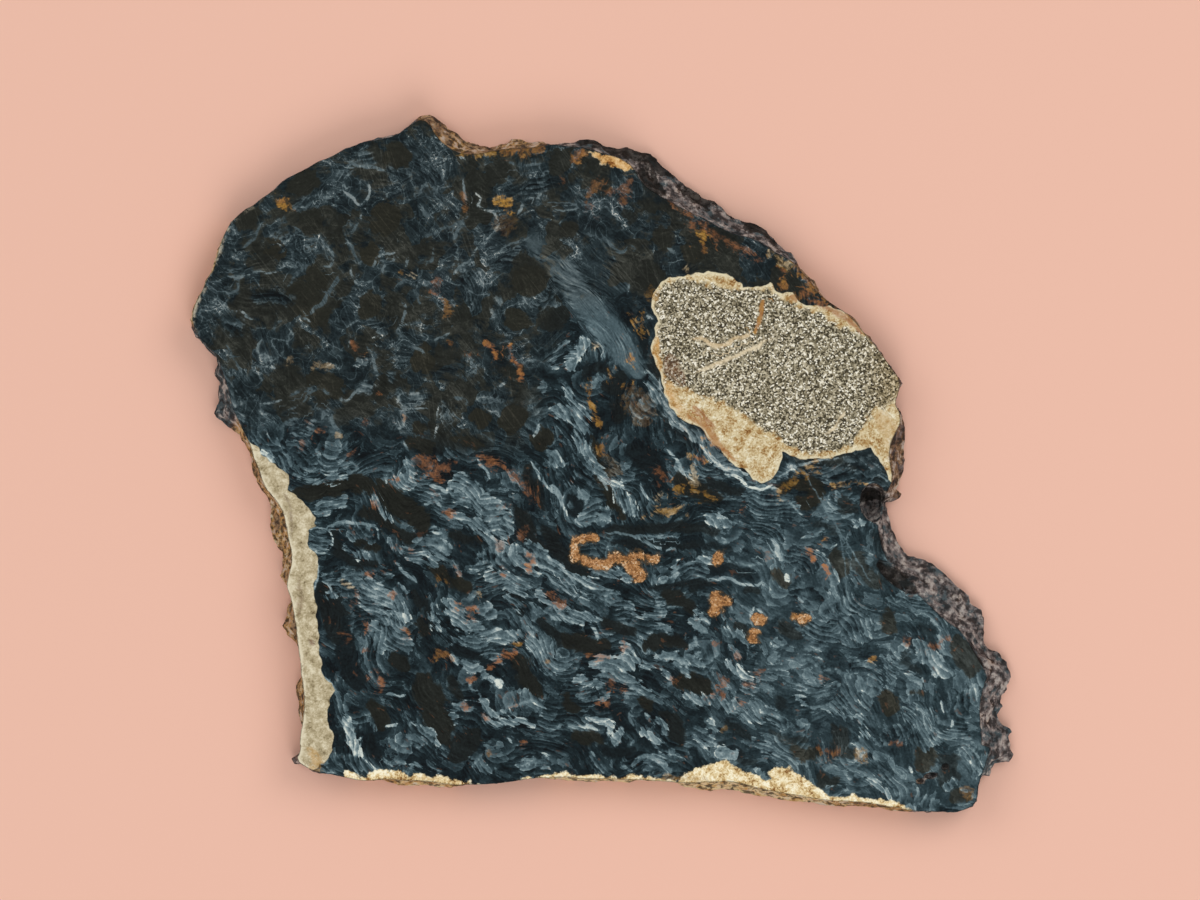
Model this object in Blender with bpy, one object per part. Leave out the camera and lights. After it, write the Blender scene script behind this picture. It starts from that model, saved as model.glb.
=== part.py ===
"""Pietersite slab: a sawn slice of dark brecciated quartz with a broken, weathered edge all round.

The slab lies on its flat underside. Seen from above, +X is to the right and +Y to the top of the sawn face,
+Z is up out of that face, and the origin is under the middle of the slab's box.
"""

import math

import bmesh
import bpy
from mathutils import Matrix, Vector, noise

MM = 0.001

# Driving sizes
THICKNESS = 6.0 * MM
STATION_STEP = 1.25 * MM
EDGE_JITTER = 0.10 * MM
EDGE_JITTER_SIZE = 1.3 * MM
NORMAL_REACH = 5
FACE_SMOOTHING = 5
EASE_AT_ANY_RIND = 0.12
RIND_FOR_FULL_EASE = 8.0 * MM
MOST_EASE = 0.5

# The broken wall, from the sawn face down: height as a share of the thickness, how much of the rind's width
# is crossed, and how much of the fracture relief shows on a wide rind.
WALL_ROWS = (
    (1.00, 0.00, 0.0),
    (0.93, 0.13, 0.4),
    (0.79, 0.36, 1.0),
    (0.62, 0.58, 1.0),
    (0.44, 0.80, 1.0),
    (0.27, 1.00, 0.0),
    (0.12, 1.00, 0.7),
    (0.00, 0.94, 1.0),
)
SCOOP_BASE = 0.25 * MM
SCOOP_PER_RIND = 0.22
SCOOP_SIZE = 3.4 * MM
SCOOP_FLATTENING = 1.6
SCOOP_FALL = 1.5
UNDERCUT = 1.1 * MM
UNDERCUT_SIZE = 7.5 * MM
UNDERCUT_COVER = 0.35
STEEP_RIND = 1.2 * MM
LEDGE_RISE = 0.06
LEDGE_LENGTH = 7.0 * MM
LEDGE_TIERS = 3.0
LOWER_EDGE_CHIP = 0.20 * MM

# The slab's outer edge seen from above, anticlockwise from its peak, in millimetres: x, y, and the width of
# the broken rind between that edge and the sawn face.
EDGE_UPPER_LEFT = (
    (-28.2, 56.2, 0.9), (-29.3, 55.8, 0.6), (-30.2, 55.0, 0.3), (-32.4, 53.1, 0.3), (-33.8, 52.9, 0.6),
    (-36.6, 52.2, 0.6), (-38.0, 52.1, 0.6), (-39.2, 51.6, 0.5), (-40.0, 51.0, 0.4), (-41.1, 51.0, 0.3),
    (-41.8, 50.1, 0.2), (-44.0, 49.0, 0.2), (-45.5, 48.6, 0.2), (-47.0, 47.5, 0.2), (-49.0, 46.6, 0.2),
    (-51.3, 45.4, 0.2), (-52.3, 44.3, 0.3), (-53.5, 43.4, 0.3), (-55.1, 42.4, 0.3), (-55.8, 41.5, 0.3),
    (-57.2, 41.1, 0.3), (-58.3, 40.0, 0.3), (-59.6, 38.9, 0.3), (-60.9, 36.3, 0.3), (-61.6, 34.7, 0.4),
    (-62.4, 31.8, 0.5), (-62.8, 30.6, 0.5), (-63.6, 29.7, 0.3), (-63.9, 28.4, 0.4), (-65.2, 26.4, 0.5),
    (-65.7, 24.9, 0.4), (-66.1, 23.1, 0.5), (-65.9, 22.3, 0.6), (-65.9, 21.4, 0.7),
)
EDGE_LEFT_BEVEL = (
    (-65.4, 20.3, 0.7), (-64.7, 19.9, 0.5), (-64.2, 19.0, 0.5), (-62.0, 17.1, 0.5), (-61.8, 15.9, 0.9),
    (-62.3, 14.2, 1.7), (-61.4, 12.8, 1.5), (-61.7, 11.6, 1.9), (-61.5, 9.7, 2.3), (-62.3, 8.1, 3.3),
    (-61.9, 7.4, 3.2), (-60.0, 5.9, 2.2), (-58.1, 4.6, 1.0),
)
EDGE_TAN_STRIP = (
    (-57.2, 2.8, 1.0), (-56.4, 1.8, 0.6), (-56.2, 0.8, 0.4), (-56.4, -0.4, 1.3), (-56.1, -1.5, 1.6),
    (-55.0, -3.9, 0.8), (-53.5, -5.9, 1.2), (-53.1, -7.0, 1.8), (-53.2, -9.8, 2.9), (-53.0, -11.5, 2.6),
    (-52.2, -13.6, 2.4), (-51.5, -14.3, 2.1), (-51.3, -16.8, 1.8), (-51.6, -18.0, 1.5), (-50.8, -19.6, 0.3),
    (-50.4, -21.0, 0.5), (-50.2, -22.2, 0.7), (-50.9, -24.7, 1.8), (-51.2, -26.0, 2.3), (-50.6, -27.5, 2.0),
    (-49.2, -28.8, 0.6), (-48.7, -29.7, 0.2), (-48.3, -32.0, 0.2), (-48.3, -34.0, 0.2), (-49.1, -35.6, 1.5),
    (-49.1, -36.8, 1.5), (-48.8, -38.2, 1.2), (-48.9, -39.6, 1.3), (-48.4, -42.0, 0.6), (-48.8, -44.0, 0.4),
    (-48.5, -46.1, 0.4), (-49.8, -47.4, 1.0), (-49.4, -48.3, 0.8), (-48.2, -48.4, 0.4), (-46.5, -49.7, 0.5),
)
EDGE_BOTTOM = (
    (-43.0, -50.1, 0.4), (-39.5, -50.9, 0.3), (-37.8, -51.2, 0.4), (-36.2, -51.1, 0.5), (-34.5, -51.2, 0.8),
    (-32.8, -51.7, 1.1), (-29.0, -51.8, 1.1), (-26.0, -52.0, 0.9), (-24.0, -52.1, 0.7), (-22.5, -51.8, 0.4),
    (-19.0, -51.5, 0.2), (-15.0, -51.2, 0.2), (-13.0, -51.0, 0.4), (-10.0, -50.6, 0.4), (-8.0, -50.9, 0.6),
    (-6.0, -50.8, 0.8), (-3.0, -51.2, 0.7), (1.0, -51.2, 0.8), (4.2, -51.4, 0.8), (5.5, -51.1, 0.6),
    (10.0, -51.2, 0.4), (12.5, -51.8, 0.7), (14.5, -52.2, 1.2), (17.0, -52.6, 1.6), (21.0, -52.6, 1.8),
    (23.0, -53.1, 1.8), (25.0, -53.5, 1.5), (29.0, -53.9, 1.2), (33.5, -54.5, 1.0), (37.0, -55.0, 1.0),
    (41.0, -55.1, 1.0), (43.5, -55.3, 0.9), (47.5, -55.9, 0.8), (50.0, -56.1, 0.5), (54.5, -56.0, 0.3),
    (56.8, -56.2, 0.4), (58.3, -55.8, 0.5), (59.7, -55.2, 0.4), (60.0, -54.5, 0.3), (60.6, -54.2, 0.6),
)
EDGE_LOWER_RIGHT_RIND = (
    (60.4, -53.6, 0.3), (60.6, -52.6, 0.3), (60.5, -51.6, 0.4), (61.1, -50.9, 0.5), (61.3, -50.2, 0.7),
    (62.3, -50.2, 1.4), (62.7, -49.0, 1.8), (63.2, -48.2, 2.2), (65.5, -48.0, 3.9), (66.3, -46.6, 4.9),
    (65.9, -45.7, 4.9), (65.4, -43.8, 4.9), (65.9, -43.1, 5.3), (65.6, -42.5, 5.0), (64.4, -41.7, 3.9),
    (63.5, -40.3, 3.1), (63.9, -39.6, 3.5), (64.6, -38.9, 4.1), (64.0, -38.4, 3.5), (64.4, -37.4, 3.7),
    (65.2, -36.3, 4.0), (65.1, -35.6, 3.7), (66.0, -34.3, 4.3), (65.4, -32.6, 3.9), (65.2, -31.8, 4.0),
    (64.3, -31.2, 3.5), (63.9, -30.3, 3.6), (63.2, -29.9, 3.3), (62.2, -29.7, 2.6), (61.6, -28.8, 2.3),
    (61.6, -26.6, 3.5), (61.4, -24.7, 4.6), (61.0, -23.5, 5.1), (59.4, -22.3, 5.1), (59.0, -21.2, 5.5),
    (56.5, -18.9, 5.5), (53.2, -16.1, 5.2), (52.0, -15.4, 4.8), (49.2, -14.8, 3.8), (48.6, -14.1, 3.5),
    (47.2, -11.4, 2.9), (46.3, -8.9, 2.3), (45.8, -7.3, 1.3),
)
EDGE_CLAST_FLANK = (
    (45.6, -6.2, 1.0), (46.8, -6.0, 1.8), (48.0, -5.9, 2.6), (48.3, -4.8, 2.6), (47.4, -4.1, 1.2),
    (47.9, -2.6, 1.3), (48.6, -1.2, 2.2), (48.7, 0.6, 2.7), (48.7, 3.0, 2.9), (48.8, 5.0, 1.7),
    (48.8, 6.6, 0.9), (48.5, 7.9, 0.6), (47.9, 8.9, 0.4), (47.1, 9.4, 0.3), (47.4, 10.3, 0.3),
    (48.4, 12.9, 0.4), (48.0, 13.8, 0.4), (46.2, 16.3, 0.4), (44.2, 19.1, 0.4), (43.2, 20.5, 0.5),
    (42.3, 21.0, 0.4), (41.0, 23.0, 0.4), (39.6, 24.3, 0.4), (37.3, 25.8, 0.4), (36.0, 26.7, 0.5),
    (35.0, 27.8, 0.5), (34.2, 29.5, 0.7), (33.2, 30.2, 0.6), (31.3, 32.9, 0.8),
)
EDGE_UPPER_RIGHT_RIND = (
    (30.4, 33.9, 1.2), (29.6, 34.2, 1.4), (27.4, 36.6, 1.9), (26.2, 37.7, 2.3), (25.0, 38.4, 2.5),
    (21.5, 39.4, 2.7), (20.3, 40.2, 2.8), (18.2, 42.2, 3.3), (16.5, 42.6, 3.2), (15.3, 43.6, 3.5),
    (12.0, 46.1, 4.2), (9.5, 48.0, 4.5), (8.7, 49.2, 4.6), (8.0, 49.9, 4.2), (6.5, 50.2, 3.1),
    (4.2, 51.0, 2.4), (2.5, 50.8, 1.6), (0.8, 51.0, 1.5), (-1.2, 52.0, 1.7), (-3.0, 52.1, 1.4),
    (-5.0, 51.8, 1.0), (-7.0, 51.6, 0.7), (-8.5, 51.7, 0.5),
)
EDGE_PEAK_SLOPE = (
    (-10.0, 51.8, 1.1), (-12.2, 51.8, 1.4), (-13.0, 52.2, 1.7), (-14.5, 52.2, 1.7), (-15.3, 51.6, 1.1),
    (-18.0, 50.9, 0.9), (-19.6, 51.2, 1.9), (-21.5, 51.7, 2.4), (-22.5, 52.6, 2.8), (-24.6, 54.2, 2.8),
    (-25.8, 55.1, 2.3), (-27.2, 56.0, 1.6),
)
EDGE = (
    EDGE_UPPER_LEFT + EDGE_LEFT_BEVEL + EDGE_TAN_STRIP + EDGE_BOTTOM + EDGE_LOWER_RIGHT_RIND
    + EDGE_CLAST_FLANK + EDGE_UPPER_RIGHT_RIND + EDGE_PEAK_SLOPE
)

# Hollows that open in the sawn face, in millimetres: name, centre x and y, half-length, half-width, depth,
# and the angle of the long axis from +X in degrees.
HOLLOWS = (
    ("edge_void", 43.4, -6.2, 3.1, 2.2, 4.2, 95.0),
    ("rind_recess", 47.5, -18.2, 4.2, 1.5, 1.0, -37.0),
    ("corner_pit", 52.7, -49.9, 1.1, 0.5, 0.7, 8.0),
    ("corner_pit_left", 51.0, -50.8, 0.7, 0.4, 0.5, 0.0),
    ("corner_pit_upper", 55.0, -48.5, 0.6, 0.5, 0.5, 30.0),
)
HOLLOW_ROUGHNESS = 0.16
HOLLOW_LUMP = 1.1
HOLLOW_CENTRE_RISE = 0.18
DEEP_HOLLOW = 1.0

NODE_NAME = "pietersite_slab"
STONE_COLOUR = (0.045, 0.062, 0.070, 1.0)
STONE_ROUGHNESS = 0.38


def clear_scene():
    for obj in list(bpy.data.objects):
        bpy.data.objects.remove(obj, do_unlink=True)


def new_collection(name):
    collection = bpy.data.collections.new(name)
    bpy.context.scene.collection.children.link(collection)
    return collection


def move_to(obj, collection):
    for owner in list(obj.users_collection):
        owner.objects.unlink(obj)
    collection.objects.link(obj)


def stone_material():
    material = bpy.data.materials.new("pietersite")
    material.use_nodes = True
    shader = material.node_tree.nodes["Principled BSDF"]
    shader.inputs["Base Color"].default_value = STONE_COLOUR
    shader.inputs["Roughness"].default_value = STONE_ROUGHNESS
    shader.inputs["Metallic"].default_value = 0.0
    return material


def edge_stations():
    """The outer edge at even steps, as flat vectors in metres, with the rind's width at each."""
    outer = []
    rinds = []
    for here, after in zip(EDGE, EDGE[1:] + EDGE[:1]):
        start = Vector(here[:2]) * MM
        run = Vector(after[:2]) * MM - start
        across = Vector((-run.y, run.x)).normalized()
        steps = max(1, math.ceil(run.length / STATION_STEP))
        for step in range(steps):
            share = step / steps
            point = start + run * share
            if step:
                wander = noise.noise(Vector((point.x, point.y, 0.0)) / EDGE_JITTER_SIZE)
                point += across * (EDGE_JITTER * wander)
            outer.append(point)
            rinds.append((here[2] + (after[2] - here[2]) * share) * MM)
    return outer, rinds


def inward_directions(outer):
    """Unit vectors into the slab, each from the run of the edge over a few stations either side."""
    count = len(outer)
    directions = []
    for index in range(count):
        along = Vector((0.0, 0.0))
        for reach in range(1, NORMAL_REACH + 1):
            along += outer[(index + reach) % count] - outer[index - reach]
        directions.append(Vector((-along.y, along.x)).normalized())
    return directions


def face_outline(outer, rinds):
    """The sawn face's own edge: the outer edge moved in by the rind, with its tightest corners eased."""
    inward = inward_directions(outer)
    face = [point + way * rind for point, way, rind in zip(outer, inward, rinds)]
    count = len(face)
    for _ in range(FACE_SMOOTHING):
        eased = []
        for index in range(count):
            middle = (face[index - 1] + face[(index + 1) % count]) / 2
            weight = min(MOST_EASE, EASE_AT_ANY_RIND + rinds[index] / RIND_FOR_FULL_EASE)
            eased.append(face[index].lerp(middle, weight))
        face = eased
    return face


def scoop(place):
    """0 on the ridges between conchoidal scoops and 1 in the middle of one."""
    spot = Vector((place.x, place.y, place.z * SCOOP_FLATTENING)) / SCOOP_SIZE
    distances, _ = noise.voronoi(spot)
    return max(0.0, 1.0 - SCOOP_FALL * distances[0])


def undercut(place, height, rind):
    """How far a steep wall runs back under the sawn face, in patches, more towards the underside."""
    patch = max(0.0, UNDERCUT_COVER + noise.noise(place / UNDERCUT_SIZE))
    steepness = max(0.0, 1.0 - rind / STEEP_RIND)
    return UNDERCUT * patch * steepness * (1.0 - height)


def wall_rings(outer, face, rinds):
    """One ring of points for each row of the wall, from the sawn face's edge down to the underside's."""
    inward = inward_directions(outer)
    rings = []
    for height, crossed, roughness in WALL_ROWS:
        ring = []
        for point, edge, way, rind in zip(outer, face, inward, rinds):
            spot = edge.lerp(point, crossed)
            place = Vector((spot.x, spot.y, height * THICKNESS))
            bite = (SCOOP_BASE + SCOOP_PER_RIND * rind) * roughness * scoop(place)
            bite += undercut(place, height, rind)
            tier = LEDGE_TIERS * height * LEDGE_LENGTH
            ledge = noise.noise(Vector((point.x, point.y, tier)) / LEDGE_LENGTH)
            lift = LEDGE_RISE * THICKNESS * ledge if 0.0 < height < 1.0 else 0.0
            chip = LOWER_EDGE_CHIP if height == 0.0 else 0.0
            spot = spot + way * (bite + chip)
            ring.append(Vector((spot.x, spot.y, height * THICKNESS + lift)))
        rings.append(ring)
    return rings


def centring_shift(rings):
    """What brings the middle of the slab's box over the origin."""
    points = [point for ring in rings for point in ring]
    xs = [point.x for point in points]
    ys = [point.y for point in points]
    return Vector((-(min(xs) + max(xs)) / 2, -(min(ys) + max(ys)) / 2, 0.0))


def loft_slab(collection, material):
    outer, rinds = edge_stations()
    face = face_outline(outer, rinds)
    rings = wall_rings(outer, face, rinds)
    shift = centring_shift(rings)
    shape = bmesh.new()
    rows = [[shape.verts.new(point + shift) for point in ring] for ring in rings]
    count = len(outer)
    for upper, lower in zip(rows, rows[1:]):
        for index in range(count):
            after = (index + 1) % count
            shape.faces.new((upper[index], lower[index], lower[after], upper[after]))
    shape.faces.new(rows[0])
    shape.faces.new(list(reversed(rows[-1])))
    bmesh.ops.recalc_face_normals(shape, faces=shape.faces)
    mesh = bpy.data.meshes.new(NODE_NAME)
    shape.to_mesh(mesh)
    shape.free()
    mesh.materials.append(material)
    slab = bpy.data.objects.new(NODE_NAME, mesh)
    collection.objects.link(slab)
    return slab, shift


def hollow_cutter(hollow, shift, collection):
    """A lumpy ellipsoid set in the sawn face, with its widest level a little above that face."""
    name, x, y, half_length, half_width, depth, angle = hollow
    divisions = 3 if depth > DEEP_HOLLOW else 2
    bpy.ops.mesh.primitive_ico_sphere_add(subdivisions=divisions, radius=1.0)
    cutter = bpy.context.object
    cutter.name = "cutter_" + name
    for vertex in cutter.data.vertices:
        lump = noise.noise(vertex.co * HOLLOW_LUMP + Vector((x, y, 0.0)))
        vertex.co *= 1.0 + HOLLOW_ROUGHNESS * lump
    rise = HOLLOW_CENTRE_RISE * depth * MM
    centre = Vector((x * MM, y * MM, THICKNESS + rise)) + shift
    size = Matrix.Diagonal((half_length * MM, half_width * MM, depth * MM + rise, 1.0))
    turn = Matrix.Rotation(math.radians(angle), 4, "Z")
    cutter.data.transform(Matrix.Translation(centre) @ turn @ size)
    cutter.hide_render = True
    cutter.display_type = "WIRE"
    move_to(cutter, collection)
    return cutter


def cut(body, cutter):
    modifier = body.modifiers.new(cutter.name, "BOOLEAN")
    modifier.operation = "DIFFERENCE"
    modifier.solver = "EXACT"
    modifier.object = cutter


def main():
    clear_scene()
    parts = new_collection("pietersite_slab")
    cutters = new_collection("cutters")
    slab, shift = loft_slab(parts, stone_material())
    for hollow in HOLLOWS:
        cut(slab, hollow_cutter(hollow, shift, cutters))


main()
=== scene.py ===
"""Pietersite slab: the looks of a sawn slice of brecciated fibrous quartz with a weathered rind."""

import math
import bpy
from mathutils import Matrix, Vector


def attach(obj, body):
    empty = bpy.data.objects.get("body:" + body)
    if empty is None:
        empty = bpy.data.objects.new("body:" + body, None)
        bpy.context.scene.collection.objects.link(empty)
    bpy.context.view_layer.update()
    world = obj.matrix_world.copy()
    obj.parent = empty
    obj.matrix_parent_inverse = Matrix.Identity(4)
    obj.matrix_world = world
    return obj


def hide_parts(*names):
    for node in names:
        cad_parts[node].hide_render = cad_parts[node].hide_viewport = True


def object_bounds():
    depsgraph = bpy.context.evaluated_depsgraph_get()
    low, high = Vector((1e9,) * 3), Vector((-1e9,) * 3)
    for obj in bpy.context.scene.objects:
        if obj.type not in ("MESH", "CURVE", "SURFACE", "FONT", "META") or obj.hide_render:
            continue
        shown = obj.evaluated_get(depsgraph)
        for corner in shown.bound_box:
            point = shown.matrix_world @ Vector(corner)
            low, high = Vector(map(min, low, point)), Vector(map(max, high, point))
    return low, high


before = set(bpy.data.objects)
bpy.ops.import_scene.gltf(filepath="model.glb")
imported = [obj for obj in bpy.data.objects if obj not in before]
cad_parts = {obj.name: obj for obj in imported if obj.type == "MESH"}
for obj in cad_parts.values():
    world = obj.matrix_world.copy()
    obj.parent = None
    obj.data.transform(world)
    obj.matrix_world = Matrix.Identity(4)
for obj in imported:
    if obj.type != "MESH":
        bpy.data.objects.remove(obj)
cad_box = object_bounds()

from types import SimpleNamespace

import bmesh
import bpy
import numpy as np
from mathutils import Vector, kdtree, noise
from mathutils.geometry import delaunay_2d_cdt

MM = 0.001
NODE = "pietersite_slab"
PIECE = "pietersite_stone"
SEED = 11

# Mesh sizes in millimetres. The lattice's jitter and its clearance from the rim are shares of its spacing.
FACE_SPACING = 0.44
UNDERSIDE_SPACING = 1.0
LATTICE_JITTER = 0.16
EDGE_CLEARANCE = 0.62
WELD_GAP = 0.002
FLAT = 0.01
WALL_EDGE = 0.66
WALL_PASSES = 3
SHARP_ANGLE = math.radians(40)

# Wear on the rim and the walls, in millimetres. The scoops are flattened, and their crests are sharp.
RIM_JITTER = 0.05
WALL_SCOOP = 0.42
WALL_SCOOP_SIZE = 1.9
WALL_SCOOP_SQUASH = 1.3
WALL_SCOOP_SHARPNESS = 1.35
WALL_GRAIN = 0.16
WALL_GRAIN_SIZE = 0.8
VUG_DEPTH = 0.55
VUG_SLOPE = (-0.1, 0.9)
VUG_GRAIN = 0.6
VUG_GRAIN_SIZE = 0.55

# What a vertex belongs to, as painted on the mesh
FACE_MARK = 0.0
RIM_MARK = 0.5
WALL_MARK = 1.0

# From the box's middle to the origin of the places read below, in millimetres
READING_SHIFT = (-0.116, -0.046)

# How far the pattern drifts sideways from the sawn face to the underside, in millimetres
DEPTH_DRIFT = (2.2, -1.4)

# The fibres run from the upper left to the lower right. Guides on a grid bend them to the strokes.
MAIN_FLOW = np.array((0.86, -0.51))
GUIDE_SPAN = (70.0, 60.0)
GUIDE_SPACING = 5.0
GUIDE_REACH = 6.0
GUIDE_STIFFNESS = 0.6

# Random waves: how many make up a field, and the sizes of the shifts that they give, in millimetres
WAVE_COUNT = 26
WOBBLE_SIZE = 0.16
FINE_WOBBLE_SIZE = 0.09
BEND_SIZE = 0.9
# Waves in the fibres: length, seed, size where the rock is calm, and how much more where it swirls
FIBRE_WAVES = ((13.0, 3, 0.25, 0.60), (6.0, 4, 0.06, 0.06))
# Slow fields: name, length and seed
BENT_WAVES = (("patch", 15.0, 7), ("seam", 8.5, 8), ("seam_fine", 4.6, 9), ("block", 10.0, 10))

# Places below are in millimetres on the sawn face: x to the right, y up.

# The bundles' paleness is partly their own colour and partly the fibres' silky sheen, painted into the tone.
# Pale fibre bundles: half-width, tone from 0 (black) to 1 (near white), then the points they follow.
BUNDLES_LEFT = (
    (0.6, 0.60, (-49.5, -1.5), (-47.5, -2.1), (-45.5, -3.0), (-43.5, -2.6), (-42.0, -1.9), (-40.5, -2.9)),
    (1.0, 0.56, (-45.4, -8.6), (-44.6, -7.2), (-42.5, -6.2), (-40.4, -5.6)),
    (1.2, 0.40, (-41.0, -10.6), (-38.5, -11.0), (-36.3, -12.2)),
    (0.5, 0.60, (-41.0, -12.3), (-40.2, -13.9), (-38.3, -14.8), (-36.3, -15.0)),
    (0.4, 0.60, (-36.2, -4.8), (-35.3, -7.0), (-34.2, -8.6), (-33.4, -9.0)),
    (0.9, 0.56, (-33.2, -3.3), (-31.6, -2.7), (-29.8, -3.4)),
    (1.5, 0.44, (-45.0, -10.6), (-45.0, -13.8)),
    (0.7, 0.60, (-31.8, 0.8), (-30.9, -0.4), (-30.2, -2.2)),
    (1.9, 0.62, (-24.8, -3.6), (-21.5, -5.0), (-18.6, -6.7), (-16.2, -8.9), (-14.2, -11.2)),
    (0.9, 0.56, (-23.8, -2.2), (-21.5, -2.6), (-19.5, -4.0)),
    (0.7, 0.58, (-24.0, -8.3), (-21.0, -9.2), (-18.0, -10.2), (-15.0, -12.0)),
    (1.3, 0.56, (-30.2, -12.2), (-28.2, -12.4), (-26.2, -13.1), (-24.2, -14.3)),
    (0.6, 0.50, (-34.5, -12.4), (-32.0, -13.6), (-30.0, -14.9), (-28.0, -16.0), (-25.8, -16.6)),
    (0.5, 0.56, (-28.0, -15.4), (-25.6, -15.1), (-23.6, -16.0), (-22.4, -17.8)),
    (0.5, 0.46, (-35.2, -17.2), (-33.2, -19.3), (-31.0, -21.0)),
    (1.4, 0.68, (-37.6, -18.2), (-36.2, -20.0), (-34.2, -22.0), (-32.3, -23.6), (-31.0, -25.2)),
    (0.8, 0.52, (-42.2, -18.6), (-40.2, -17.8), (-38.9, -19.2), (-37.8, -21.4), (-36.3, -23.8),
     (-34.6, -26.4)),
    (0.5, 0.42, (-45.2, -18.2), (-43.6, -18.2), (-42.6, -19.6), (-42.9, -21.0), (-44.5, -21.4)),
    (0.6, 0.60, (-20.6, -15.2), (-18.0, -13.9), (-15.2, -13.6), (-12.6, -14.0), (-10.4, -15.8)),
    (0.7, 0.56, (-21.0, -17.2), (-18.2, -15.9), (-15.2, -15.4), (-12.2, -16.0), (-9.8, -18.2)),
    (1.2, 0.62, (-18.8, -18.2), (-16.2, -18.3), (-13.8, -19.3), (-11.8, -21.2)),
    (0.9, 0.60, (-25.3, -21.8), (-23.6, -23.0), (-22.3, -24.7), (-20.8, -26.0)),
    (0.9, 0.56, (-20.2, -22.8), (-18.2, -23.5), (-16.6, -24.8)),
    (0.4, 0.60, (-27.8, -21.2), (-26.6, -23.2), (-26.0, -25.6)),
    (0.6, 0.46, (-15.2, -21.0), (-13.0, -22.5), (-10.2, -24.0)),
    (0.9, 0.46, (-16.6, -1.6), (-15.2, -2.6), (-13.6, -4.2)),
    (0.9, 0.36, (-26.6, 1.0), (-24.4, 1.6), (-22.2, 1.2)),
    (0.4, 0.50, (-21.5, -10.6), (-19.5, -11.4), (-17.5, -12.8), (-15.8, -13.2)),
)
BUNDLES_MIDDLE = (
    (0.6, 0.58, (-4.8, 5.6), (-3.4, 3.2), (-2.0, 1.8), (-1.0, 0.3), (0.0, -1.6), (1.2, -3.2)),
    (1.0, 0.70, (1.9, -2.8), (3.0, -4.8), (4.2, -6.8), (5.8, -8.2)),
    (1.2, 0.62, (-0.4, -5.6), (-1.6, -7.4), (-2.7, -9.0), (-4.0, -10.2)),
    (0.9, 0.56, (0.2, -6.6), (0.7, -8.2), (-0.6, -9.8)),
    (0.6, 0.56, (-6.4, -2.8), (-4.6, -4.0), (-3.2, -5.0), (-1.6, -5.9)),
    (0.7, 0.52, (-8.8, 2.4), (-7.6, 1.0), (-6.2, -0.6)),
    (1.1, 0.34, (-4.8, 1.8), (-3.2, -0.8), (-1.4, -4.2)),
    (1.2, 0.50, (-11.8, -12.2), (-9.5, -14.9), (-7.0, -17.3), (-4.0, -19.1), (-1.0, -20.5), (2.2, -21.7),
     (5.4, -23.2)),
    (0.5, 0.60, (-10.2, -19.3), (-9.3, -21.5), (-7.5, -22.9), (-4.8, -23.1)),
    (0.8, 0.52, (-13.4, -22.4), (-10.2, -23.5), (-7.0, -24.1), (-3.2, -24.5), (0.4, -25.0)),
    (0.5, 0.56, (-1.8, -17.0), (0.6, -17.5), (3.0, -17.7), (5.0, -18.6)),
    (0.5, 0.62, (8.3, -17.8), (9.5, -18.8), (11.0, -18.6), (12.1, -17.1), (13.4, -16.3), (16.0, -15.6),
     (18.2, -15.0)),
    (1.2, 0.46, (12.0, -16.6), (14.6, -17.2), (17.2, -17.4)),
    (0.8, 0.62, (16.6, -7.8), (18.4, -8.9), (20.8, -9.9)),
    (0.4, 0.56, (2.6, -21.6), (4.4, -23.4), (6.6, -24.6)),
    (0.6, 0.60, (7.0, -24.6), (8.6, -23.4), (9.7, -21.9)),
    (1.0, 0.58, (7.8, -24.8), (9.2, -24.0), (10.4, -23.2)),
    (0.4, 0.60, (14.8, -23.2), (16.2, -24.6), (17.2, -26.0)),
    (2.0, 0.42, (22.6, -4.8), (25.6, -5.9), (28.8, -7.0), (31.4, -8.4)),
    (1.2, 0.38, (23.6, -9.8), (26.8, -10.6), (29.4, -12.4)),
    (1.7, 0.36, (29.6, -13.6), (32.0, -15.4), (34.4, -17.4)),
    (1.6, 0.36, (29.6, -19.8), (33.0, -21.0), (36.4, -21.2)),
    (0.7, 0.56, (34.2, -14.4), (36.0, -16.1), (37.0, -17.8), (37.6, -19.6)),
    (0.6, 0.56, (35.2, -13.7), (37.4, -12.4)),
    (1.3, 0.50, (35.2, -24.2), (38.8, -22.9), (41.0, -24.0), (43.4, -26.0)),
    (0.5, 0.50, (39.2, -20.6), (40.7, -22.8)),
    (0.7, 0.44, (44.6, -22.5), (47.8, -21.6), (51.0, -22.5), (53.4, -24.2), (55.4, -26.4)),
    (1.3, 0.36, (32.6, -0.7), (35.8, -1.6), (39.4, -2.3), (43.4, -2.4)),
    (0.5, 0.48, (38.6, 0.7), (42.0, 0.6), (44.0, -0.7), (45.9, -2.8)),
    (0.4, 0.60, (39.6, -9.3), (42.8, -9.4)),
)
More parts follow.
